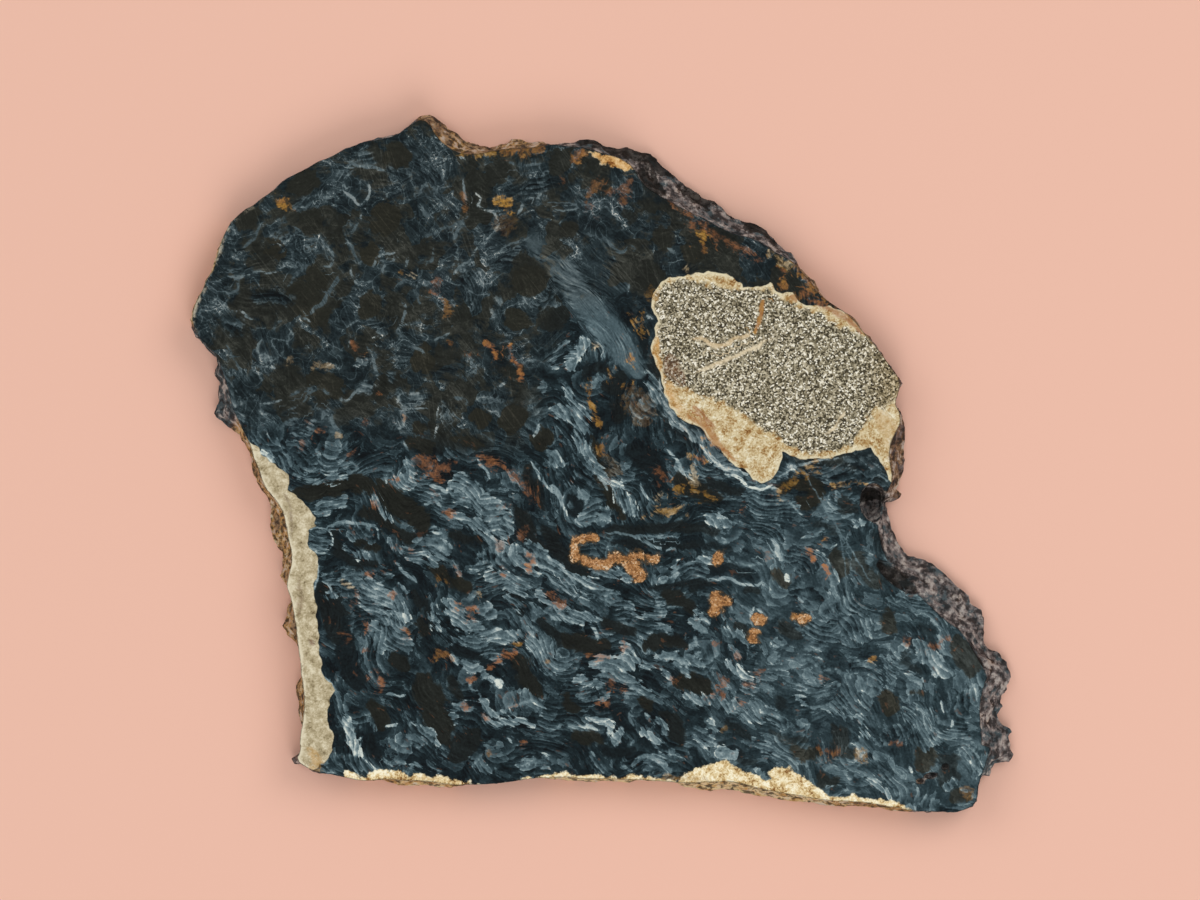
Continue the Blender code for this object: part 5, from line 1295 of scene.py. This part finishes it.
def slab_mesh(node):
    """Points in millimetres and faces of one closed slab: worn walls, a fine face, a plainer underside."""
    shell, top = slab_shell(node)
    wear_walls(shell, top)
    shell.verts.ensure_lookup_table()
    shell.verts.index_update()
    points = [tuple(vertex.co) for vertex in shell.verts]
    faces = [tuple(vertex.index for vertex in face.verts) for face in shell.faces]
    wall = [RIM_MARK if vertex.is_boundary else WALL_MARK for vertex in shell.verts]
    for height, spacing, upward in ((top, FACE_SPACING, True), (0.0, UNDERSIDE_SPACING, False)):
        spots, triangles, sources, rim_indices = fill_face(shell, height, spacing)
        index_of = {}
        for spot_index, origins in enumerate(sources):
            known = [rim_indices[origin] for origin in origins if origin in rim_indices]
            if known:
                index_of[spot_index] = known[0]
        for triangle in triangles:
            corners = []
            for spot_index in triangle:
                if spot_index not in index_of:
                    index_of[spot_index] = len(points)
                    spot = spots[spot_index]
                    points.append((spot.x, spot.y, height))
                    wall.append(FACE_MARK)
                corners.append(index_of[spot_index])
            faces.append(tuple(corners) if upward else tuple(reversed(corners)))
    shell.free()
    return np.array(points), faces, np.array(wall), top


def dig_vugs(points, found, top):
    """Sinks the granular hollows a little into the sawn face."""
    on_face = np.abs(points[:, 2] - top) < FLAT
    inner = on_face & (found["wall"] == FACE_MARK)
    depth = smooth_step(found["vug_edge"], *VUG_SLOPE)
    for index in np.flatnonzero(inner & (depth > 0.0)):
        grain = noise.noise(Vector(points[index]) / VUG_GRAIN_SIZE)
        points[index, 2] -= VUG_DEPTH * depth[index] * (0.75 + VUG_GRAIN * grain)


def build_stone(node):
    """The visible slab, with every painted value as an attribute of its mesh."""
    points, faces, wall, top = slab_mesh(node)
    found = fields(points, wall, top)
    dig_vugs(points, found, top)
    mesh = bpy.data.meshes.new(PIECE)
    mesh.from_pydata((points * MM).tolist(), [], faces)
    mesh.validate()
    for name, values in found.items():
        attribute = mesh.attributes.new(name, "FLOAT", "POINT")
        attribute.data.foreach_set("value", values.astype(np.float32))
    mesh.shade_smooth()
    mesh.set_sharp_from_angle(angle=SHARP_ANGLE)
    stone = bpy.data.objects.new(PIECE, mesh)
    bpy.context.scene.collection.objects.link(stone)
    return stone


class Graph:
    """Adds shader nodes to one material and hands back their output sockets."""

    def __init__(self, tree):
        self.tree = tree

    def node(self, kind, feeds, output=0, **settings):
        made = self.tree.nodes.new(kind)
        for name, value in settings.items():
            setattr(made, name, value)
        for key, value in feeds.items():
            self.feed(made.inputs[key], value)
        return made.outputs[output]

    def feed(self, socket, value):
        if isinstance(value, bpy.types.NodeSocket):
            self.tree.links.new(value, socket)
        else:
            socket.default_value = value

    def math(self, operation, first, second=0.0):
        return self.node("ShaderNodeMath", {0: first, 1: second}, operation=operation)

    def add(self, first, second):
        return self.math("ADD", first, second)

    def sub(self, first, second):
        return self.math("SUBTRACT", first, second)

    def mul(self, first, second):
        return self.math("MULTIPLY", first, second)

    def size(self, value):
        """The value without its sign."""
        return self.math("ABSOLUTE", value)

    def most(self, first, second):
        return self.math("MAXIMUM", first, second)

    def scaled(self, value, factor, shift):
        return self.node("ShaderNodeMath", {0: value, 1: factor, 2: shift}, operation="MULTIPLY_ADD")

    def spread(self, value, amount):
        """A noise of 0 to 1 as one of that whole range about 0."""
        return self.scaled(value, amount, -amount / 2)

    def step(self, value, low, high, start=0.0, end=1.0):
        """Eases from start at low to end at high."""
        feeds = {"Value": value, "From Min": low, "From Max": high, "To Min": start, "To Max": end}
        return self.node("ShaderNodeMapRange", feeds, interpolation_type="SMOOTHSTEP")

    def blend(self, amount, first, second):
        return self.node("ShaderNodeMix", {0: amount, 2: first, 3: second}, data_type="FLOAT")

    def tint(self, amount, first, second, kind="MIX"):
        feeds = {0: amount, 6: first, 7: second}
        return self.node("ShaderNodeMix", feeds, output=2, data_type="RGBA", blend_type=kind)

    def field(self, name):
        """A painted value of the mesh."""
        return self.node("ShaderNodeAttribute", {}, output="Fac", attribute_name=name)

    def vector(self, x, y, z):
        return self.node("ShaderNodeCombineXYZ", {0: x, 1: y, 2: z})

    def parts(self, kind, value):
        """The three parts of a vector, kind XYZ, or of a colour, kind Color."""
        made = self.tree.nodes.new("ShaderNodeSeparate" + kind)
        self.feed(made.inputs[0], value)
        return made.outputs

    def noise(self, vector, scale, detail, roughness, output="Fac"):
        feeds = {"Vector": vector, "Scale": scale, "Detail": detail, "Roughness": roughness}
        return self.node("ShaderNodeTexNoise", feeds, output=output)

    def cells(self, vector, scale):
        return self.node("ShaderNodeTexVoronoi", {"Vector": vector, "Scale": scale}, output="Color")

    def ramp(self, value, steps):
        made = self.tree.nodes.new("ShaderNodeValToRGB")
        elements = made.color_ramp.elements
        while len(elements) < len(steps):
            elements.new(0.5)
        for element, (place, colour) in zip(elements, steps):
            element.position = place
            element.color = srgb(*colour)
        self.feed(made.inputs[0], value)
        return made.outputs[0]


def shared_sockets(g):
    """Places, painted fields and noises that several parts of the shader use."""
    s = SimpleNamespace()
    metres = g.node("ShaderNodeTexCoord", {}, output="Object")
    s.place = g.node("ShaderNodeVectorMath", {0: metres, 3: 1.0 / MM}, operation="SCALE")
    s.x, s.y, _ = g.parts("XYZ", s.place)
    s.swirl = g.field("swirl")
    s.calm = g.sub(1.0, s.swirl)
    s.patch = g.field("patch")
    s.wisp = g.field("wisp")
    s.right = g.mul(g.step(s.x, 10.0, 30.0), g.step(s.y, 0.0, -12.0))
    s.mottle = g.noise(s.place, 0.7, 4.0, 0.65)
    s.jog = g.spread(s.mottle, 0.9)
    s.grit = g.noise(s.place, 2.7, 2.0, 0.6)
    s.grain = g.parts("Color", g.cells(s.place, 4.2))[0]
    bend = g.noise(s.place, 0.33, 2.0, 0.5, "Color")
    bend = g.node("ShaderNodeVectorMath", {0: bend, 3: 4.5}, operation="SCALE")
    s.bent = g.node("ShaderNodeVectorMath", {0: s.place, 1: bend}, operation="ADD")
    shard = g.cells(s.bent, 0.21)
    s.pick = g.parts("Color", shard)
    s.fibre = shard_fibres(g, s, g.parts("XYZ", shard.node.outputs["Position"]))
    s.middle = streaky_noise(g, s, 1.0, 0.20, 3.0, 0.62)
    uneven = g.step(g.noise(s.place, 0.42, 2.0, 0.5), 0.38, 0.64, 0.15, 1.35)
    s.fine = g.add(g.mul(g.spread(streaky_noise(g, s, 3.0, 0.36, 2.0, 0.60), 1.0), uneven), 0.5)
    swirled = g.add(g.add(g.spread(s.middle, 2.6), g.spread(s.fine, 1.3)), g.spread(s.mottle, 1.8))
    s.fray = g.blend(s.swirl, g.add(g.spread(s.mottle, 3.6), g.spread(s.fine, 1.2)), swirled)
    return s


def shard_fibres(g, s, centre):
    """The height across the fibres. In some shards they are straight and turned out of the flow."""
    drift = g.noise(s.place, 0.20, 1.0, 0.5)
    flow = g.add(g.field("fibre"), g.spread(drift, 1.6))
    turned = g.spread(s.pick[0], 1.5)
    cosine = g.math("COSINE", turned)
    sine = g.math("SINE", turned)
    lean_x = g.field("lean_x")
    lean_y = g.field("lean_y")
    over_x = g.sub(g.mul(lean_x, cosine), g.mul(lean_y, sine))
    over_y = g.add(g.mul(lean_x, sine), g.mul(lean_y, cosine))
    across = g.add(g.mul(g.sub(s.x, centre[0]), over_x), g.mul(g.sub(s.y, centre[1]), over_y))
    straight = g.add(g.add(across, g.spread(drift, 1.2)), g.mul(s.pick[1], 40.0))
    broken_up = g.mul(g.step(s.pick[2], 0.66, 0.67), g.step(g.field("streak_edge"), 0.0, -1.0))
    return g.blend(broken_up, flow, straight)


def streaky_noise(g, s, across, along, detail, roughness):
    """Noise that is quick across the fibres and slow along them."""
    where = g.vector(g.mul(s.fibre, across), g.mul(s.x, along), g.mul(s.y, along))
    return g.noise(where, 1.0, detail, roughness)


def swirled_ground(g, s):
    """Feathers of partly painted sheen, each with one sharp pale edge that fades into the dark, over folded
    plates.
    """
    feathers = []
    for rate, bend, cover, pale in FEATHERS:
        shift = g.add(g.mul(s.wisp, bend), g.spread(s.mottle, 0.8))
        turn = g.math("FRACT", g.add(g.mul(s.fibre, rate), shift))
        fade = g.math("POWER", g.sub(1.0, turn), 1.7)
        crest = g.mul(g.step(turn, 0.0, 0.14), fade)
        cover = g.add(g.field(cover), g.spread(s.middle, 4.0))
        feathers.append(g.mul(crest, g.step(cover, -0.7, 0.9, 0.0, pale)))
    s.fold = g.spread(crest, 0.30)
    s.plumes = g.add(feathers[0], g.mul(feathers[1], g.scaled(s.right, -0.65, 1.0)))
    veil = g.add(g.scaled(s.right, 0.18, 0.125), g.step(s.wisp, -0.6, 1.4, -0.01, 0.05))
    plate = streaky_noise(g, s, 0.50, 0.20, 4.0, 0.58)
    sheet = g.step(plate, 0.560, 0.590, 0.0, 0.15)
    edge = g.step(g.size(g.sub(plate, 0.580)), 0.014, 0.0, 0.0, 0.15)
    hollow = g.step(plate, 0.46, 0.41, 0.0, 0.08)
    plates = g.sub(g.add(sheet, edge), hollow)
    grain = g.add(g.spread(s.fine, 0.45), g.spread(s.mottle, 0.40))
    return g.add(g.add(s.plumes, plates), g.add(grain, veil))


def calm_ground(g, s):
    """Dark blocks in cloudy blue, with thin bent seams and curls."""
    block = g.add(g.mul(g.field("block"), 0.35), g.spread(s.pick[1], 1.7))
    s.block = g.step(g.add(block, g.add(g.spread(s.mottle, 3.0), g.spread(s.fine, 1.5))), -0.25, 0.50)
    cloud = g.add(g.add(g.spread(s.mottle, 0.42), g.mul(s.wisp, 0.015)), 0.180)
    still = g.add(g.add(g.spread(s.mottle, 0.34), g.spread(s.pick[0], 0.06)), 0.150)
    quiet = g.add(g.blend(s.block, cloud, still), g.add(g.spread(s.fine, 0.42), g.spread(s.middle, 0.22)))
    seam = g.size(g.add(g.field("seam"), g.spread(s.mottle, 1.4)))
    seam_fine = g.size(g.add(g.field("seam_fine"), g.spread(s.mottle, 1.2)))
    broken = g.step(g.add(s.patch, g.spread(s.middle, 5.0)), -0.4, 0.9)
    lines = g.mul(g.step(seam, 0.17, 0.0), g.scaled(broken, 0.21, 0.05))
    lines = g.add(lines, g.mul(g.step(seam_fine, 0.16, 0.0), g.mul(g.sub(1.0, s.block), 0.20)))
    lines = g.add(lines, g.step(seam, 0.85, 0.0, 0.0, 0.06))
    for scale, width, pale in CURLS:
        curl = g.size(g.spread(g.noise(s.bent, scale, 3.0, 0.6), 1.0))
        kept = g.step(g.add(g.mul(s.wisp, 0.5), g.spread(s.middle, 6.0)), 0.1, 0.8, 0.0, pale)
        lines = g.add(lines, g.mul(g.step(curl, width, 0.0), kept))
    lines = g.mul(lines, g.scaled(s.block, -0.60, 1.0))
    return g.add(quiet, g.add(lines, g.mul(s.plumes, g.scaled(s.block, -0.22, 0.34))))


def add_drawn_tones(g, s, tone):
    """Dark quartz and painted shade, the broad streak, then the pale bundles, partly painted sheen, with
    fibres in them and a brighter rim.
    """
    chipped = g.mul(s.calm, g.spread(s.pick[2], 2.2))
    s.dark = g.step(g.add(g.add(g.field("dark_edge"), chipped), s.fray), -0.32, 0.32)
    dim = g.add(g.add(g.spread(s.fine, 0.30), g.spread(s.middle, 0.20)), g.scaled(s.calm, 0.085, 0.055))
    tone = g.blend(g.mul(s.dark, g.scaled(s.right, -0.40, 0.85)), tone, dim)
    streak = g.step(g.add(g.field("streak_edge"), g.spread(s.fine, 2.4)), -0.7, 0.8)
    brushed = g.add(g.spread(s.fine, 0.8), g.spread(s.middle, 0.4))
    tone = g.blend(streak, tone, g.add(g.field("streak_tone"), brushed))
    depth = g.add(g.field("pale_edge"), s.fray)
    s.pale = g.step(depth, g.scaled(s.calm, -0.4, -0.26), g.scaled(s.calm, 0.4, 0.14))
    strands = g.mul(g.spread(s.middle, 0.80), g.scaled(s.right, -0.35, 1.0))
    fibres = g.add(g.add(g.spread(s.fine, 0.62), strands), g.add(g.spread(s.mottle, 1.1), s.fold))
    bundle = g.mul(g.field("pale_tone"), g.scaled(s.calm, -0.22, 0.98))
    tone = g.blend(s.pale, tone, g.add(bundle, fibres))
    crest = g.step(g.size(g.sub(depth, 0.10)), 0.22, 0.0)
    return g.add(tone, g.mul(crest, g.step(s.middle, 0.44, 0.62, 0.0, 0.20)))


def add_veins(g, s, tone):
    """Thin pale veins, worn away in places, each in a faint glow."""
    off = g.size(g.add(g.field("vein_off"), s.jog))
    depth = g.sub(g.field("vein_width"), off)
    worn = g.add(g.spread(s.fine, 1.4), g.mul(g.spread(s.mottle, 3.0), s.calm))
    s.vein = g.mul(g.step(depth, -0.14, 0.06), g.step(worn, -0.25, 0.10, 0.15, 1.0))
    vein_tone = g.mul(g.field("vein_tone"), g.scaled(s.calm, -0.16, 1.0))
    tone = g.blend(s.vein, tone, g.add(vein_tone, g.spread(s.fine, 0.6)))
    return g.add(tone, g.step(depth, -0.9, 0.0, 0.0, 0.08))


def saw_marks(g, s):
    """Fine straight scratches, each direction in patches of its own."""
    saw = 0.0
    for angle, cover, low in SAW_MARKS:
        cosine = math.cos(math.radians(angle))
        sine = math.sin(math.radians(angle))
        over = g.add(g.mul(s.x, -sine * SAW_RATE_ACROSS), g.mul(s.y, cosine * SAW_RATE_ACROSS))
        run = g.add(g.mul(s.x, cosine * SAW_RATE_ALONG), g.mul(s.y, sine * SAW_RATE_ALONG))
        line = g.noise(g.vector(over, run, angle), 1.0, 1.0, 0.5)
        saw = g.add(saw, g.mul(g.step(line, 0.54, 0.72), g.step(g.field(cover), low, low + 0.9)))
    return saw


def quartz_colour(g, s):
    """Blue-grey quartz, browner in the calm blocks and in the dark strokes."""
    quartz = g.tint(s.calm, g.ramp(s.tone, QUARTZ_COLOURS), CALM_SHADE, "MULTIPLY")
    warmth = g.mul(s.calm, g.mul(s.block, 0.72))
    warmth = g.most(warmth, g.mul(s.dark, g.field("dark_brown")))
    warmth = g.mul(warmth, g.sub(1.0, g.most(s.pale, s.vein)))
    return g.tint(warmth, quartz, g.ramp(g.add(s.tone, 0.06), BROWN_COLOURS))


def add_vugs(g, s, colour):
    """Orange granular hollows in a dull ochre ring."""
    depth = g.add(g.field("vug_edge"), g.spread(s.mottle, 2.6))
    colour = g.tint(g.step(depth, -0.55, -0.05, 0.0, 0.6), colour, OCHRE_RING)
    s.vug = g.step(g.add(depth, g.spread(s.grain, 0.3)), -0.10, 0.12)
    hue = g.blend(0.55, s.grain, g.scaled(s.mottle, 2.4, -0.7))
    return g.tint(s.vug, colour, g.ramp(hue, VUG_COLOURS))


def add_clast(g, s, colour):
    """The sandy clast: a speckled core in a tan skin, amber on the left and pale at its border."""
    near = g.field("clast")
    s.clast = g.step(near, -0.08, 0.08)
    core = g.step(g.add(g.field("core"), g.spread(s.mottle, 2.4)), -0.55, 0.20)
    sandy = g.ramp(g.add(g.scaled(s.grain, 1.35, -0.21), g.spread(s.mottle, 0.5)), GRAIN_COLOURS)
    sandy = g.tint(g.step(s.x, 40.0, 47.5, 0.0, 0.75), sandy, CORE_SHADE, "MULTIPLY")
    tan = g.ramp(g.add(g.spread(s.grain, 0.5), g.scaled(s.mottle, 2.0, -0.46)), TAN_COLOURS)
    amber = g.mul(g.mul(g.step(near, 2.6, 0.5), g.step(s.x, 17.0, 8.0)), g.step(s.y, 25.0, 21.0))
    tan = g.tint(g.mul(amber, g.step(s.mottle, 0.36, 0.56, 0.2, 0.8)), tan, AMBER_SKIN)
    border = g.mul(g.step(near, 0.60, 0.10), g.step(s.mottle, 0.36, 0.52))
    return g.tint(s.clast, colour, g.tint(border, g.tint(core, tan, sandy), PALE_SKIN))


def add_bands(g, s, colour):
    """The tan strip, the crust with its lens at the top, and a pale thread along the sawn edge."""
    s.strip = g.step(g.field("strip"), -0.08, 0.08)
    band = g.ramp(g.add(g.spread(s.grain, 0.34), g.scaled(s.mottle, 2.2, -0.52)), STRIP_COLOURS)
    colour = g.tint(s.strip, colour, band)
    rim = g.step(g.field("rim"), 0.75, 0.15)
    colour = g.tint(g.mul(g.mul(rim, s.strip), g.step(s.mottle, 0.38, 0.50)), colour, STRIP_THREAD)
    s.crust = g.step(g.add(g.field("crust"), g.spread(s.mottle, 1.9)), -0.15, 0.20)
    crumbs = g.ramp(g.add(g.spread(s.grain, 0.5), g.scaled(s.mottle, 2.8, -0.85)), CRUST_COLOURS)
    colour = g.tint(s.crust, colour, crumbs)
    lens = g.mul(s.crust, g.step(s.y, 36.0, 40.0, 0.0, 0.8))
    colour = g.tint(lens, colour, LENS_SHADE, "MULTIPLY")
    bare = g.mul(g.mul(rim, g.step(s.x, -52.0, -60.0)), g.step(s.y, 20.0, 24.0))
    return g.tint(g.mul(bare, g.step(s.mottle, 0.45, 0.60, 0.0, 0.8)), colour, BARE_RIM)


def add_stains(g, s, colour):
    """Iron stains: specks that follow the fibres, then the drawn ones."""
    other = g.most(s.clast, s.strip)
    speck = streaky_noise(g, s, 1.3, 0.5, 2.0, 0.6)
    speck = g.mul(g.mul(g.step(speck, 0.655, 0.72), g.mul(s.swirl, 0.24)), g.sub(1.0, other))
    colour = g.tint(speck, colour, g.ramp(g.scaled(s.fine, 0.9, -0.28), STAIN_COLOURS))
    off = g.size(g.add(g.field("stain_off"), g.mul(s.jog, 0.8)))
    width = g.field("stain_width")
    power = g.field("stain_power")
    loose = g.add(g.add(g.spread(s.fine, 1.2), g.spread(s.middle, 1.2)), g.spread(s.mottle, 2.6))
    loose = g.mul(loose, g.scaled(other, -0.65, 1.0))
    depth = g.sub(g.mul(g.sub(width, off), g.scaled(s.clast, 0.5, 0.6)), g.mul(s.clast, 0.12))
    stain = g.mul(g.step(g.add(depth, loose), -0.16, 0.36), power)
    stain = g.mul(stain, g.step(s.fine, 0.30, 0.55, 0.5, 1.0))
    strand = g.size(g.spread(g.noise(s.bent, 0.8, 3.0, 0.6), 1.0))
    strand = g.step(strand, 0.14, 0.02, 0.22, 1.0)
    wide = g.mul(g.step(width, 0.30, 0.60), g.sub(1.0, s.clast))
    stain = g.mul(stain, g.blend(wide, 1.0, strand))
    hue = g.add(g.field("stain_hue"), g.add(g.spread(s.fine, 0.4), g.spread(s.mottle, 0.5)))
    lit = g.most(g.scaled(s.tone, 0.9, 0.16), g.mul(other, 0.8))
    lit = g.add(g.add(lit, g.spread(s.grit, 0.8)), g.mul(power, 0.52))
    lit = g.math("MINIMUM", lit, 1.1)
    rust = g.tint(1.0, g.ramp(hue, STAIN_COLOURS), g.vector(lit, lit, lit), "MULTIPLY")
    return g.tint(stain, colour, rust)


def add_rind(g, s, colour):
    """The weathered rind of the walls, with dark pits and pale crags, and near black where the dark strokes
    cross it: darker rind, and painted shade in the notch and recesses.
    """
    s.wall = g.step(g.field("wall"), 0.30, 0.62)
    s.pocks = g.noise(s.place, 0.85, 4.0, 0.62)
    crags = g.parts("Color", g.noise(s.place, 0.36, 3.0, 0.6, "Color"))[0]
    hue = g.add(g.field("rind_hue"), g.add(g.spread(s.mottle, 0.7), g.spread(crags, 1.1)))
    rind = g.tint(g.step(s.pocks, 0.40, 0.55, 0.85, 0.0), g.ramp(hue, RIND_COLOURS), RIND_PIT)
    rind = g.tint(g.step(g.add(s.pocks, g.spread(crags, 0.6)), 0.53, 0.68, 0.0, 0.7), rind, RIND_CRAG)
    # Darker rind, and painted shade in the notch and recesses, where the dark strokes cross the walls
    rind = g.tint(g.mul(s.dark, 0.85), rind, RIND_DARK_AND_SHADE)
    return g.tint(s.wall, colour, rind)


def stone_material():
    """Tone first, from dark to pale, then colour from the tone, then the bodies that lie in the quartz."""
    material = bpy.data.materials.new("pietersite")
    material.use_nodes = True
    g = Graph(material.node_tree)
    s = shared_sockets(g)
    swirled = swirled_ground(g, s)
    tone = g.blend(s.swirl, calm_ground(g, s), swirled)
    tone = add_veins(g, s, add_drawn_tones(g, s, tone))
    tone = g.add(tone, g.mul(saw_marks(g, s), g.scaled(s.calm, 0.075, 0.045)))
    s.tone = g.add(tone, g.spread(s.grit, 0.26))
    colour = quartz_colour(g, s)
    for add_body in (add_vugs, add_clast, add_bands, add_stains, add_rind):
        colour = add_body(g, s, colour)

    shader = material.node_tree.nodes["Principled BSDF"]
    g.feed(shader.inputs["Base Color"], colour)
    dull = g.most(g.most(s.clast, s.strip), g.most(s.crust, s.wall))
    rough = g.blend(dull, g.scaled(s.fine, 0.12, 0.24), g.scaled(s.mottle, 0.3, 0.50))
    g.feed(shader.inputs["Roughness"], rough)
    shader.inputs["Specular IOR Level"].default_value = SHEEN
    grainy = g.mul(g.mul(g.most(s.clast, s.vug), s.grain), 0.09)
    relief = g.add(grainy, g.mul(g.mul(s.wall, s.pocks), 0.9))
    bump = g.node("ShaderNodeBump", {"Height": relief, "Distance": MM, "Strength": 1.0}, output="Normal")
    g.feed(shader.inputs["Normal"], bump)
    return material


def build_floor():
    bpy.ops.mesh.primitive_plane_add(size=FLOOR_SIZE, location=(0.0, 0.0, 0.0))
    floor = bpy.context.object
    floor.name = "floor"
    material = bpy.data.materials.new("floor")
    material.use_nodes = True
    shader = material.node_tree.nodes["Principled BSDF"]
    shader.inputs["Base Color"].default_value = FLOOR_COLOUR
    shader.inputs["Roughness"].default_value = FLOOR_ROUGHNESS
    shader.inputs["Specular IOR Level"].default_value = FLOOR_SHEEN
    floor.data.materials.append(material)


def build_lights():
    for name, place, power in SOFTBOXES:
        light = bpy.data.lights.new(name, "AREA")
        light.shape = "DISK"
        light.size = SOFTBOX_SIZE
        light.energy = power
        lamp = bpy.data.objects.new(name, light)
        lamp.location = place
        lamp.rotation_euler = (-Vector(place)).to_track_quat("-Z", "Y").to_euler()
        bpy.context.scene.collection.objects.link(lamp)
    world = bpy.data.worlds.new("studio")
    world.use_nodes = True
    background = world.node_tree.nodes["Background"]
    background.inputs["Color"].default_value = SKY_COLOUR
    background.inputs["Strength"].default_value = SKY_STRENGTH
    bpy.context.scene.world = world


def build_camera():
    lens = bpy.data.cameras.new("camera")
    lens.sensor_width = SENSOR_MM
    lens.lens = SENSOR_MM * VIEW_DISTANCE / VIEW_WIDTH
    lens.clip_start = CLIP_START
    lens.clip_end = CLIP_END
    camera = bpy.data.objects.new("camera", lens)
    shift = Vector((READING_SHIFT[0] * MM, READING_SHIFT[1] * MM, 0.0))
    camera.location = Vector((*VIEW_CENTRE, cad_box[1][2] + VIEW_DISTANCE)) + shift
    bpy.context.scene.collection.objects.link(camera)
    bpy.context.scene.camera = camera


def main():
    stone = build_stone(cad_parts[NODE])
    stone.data.materials.append(stone_material())
    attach(stone, "root")
    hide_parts(NODE)
    build_floor()
    build_lights()
    build_camera()
    bpy.context.scene.view_settings.view_transform = "Standard"


main()
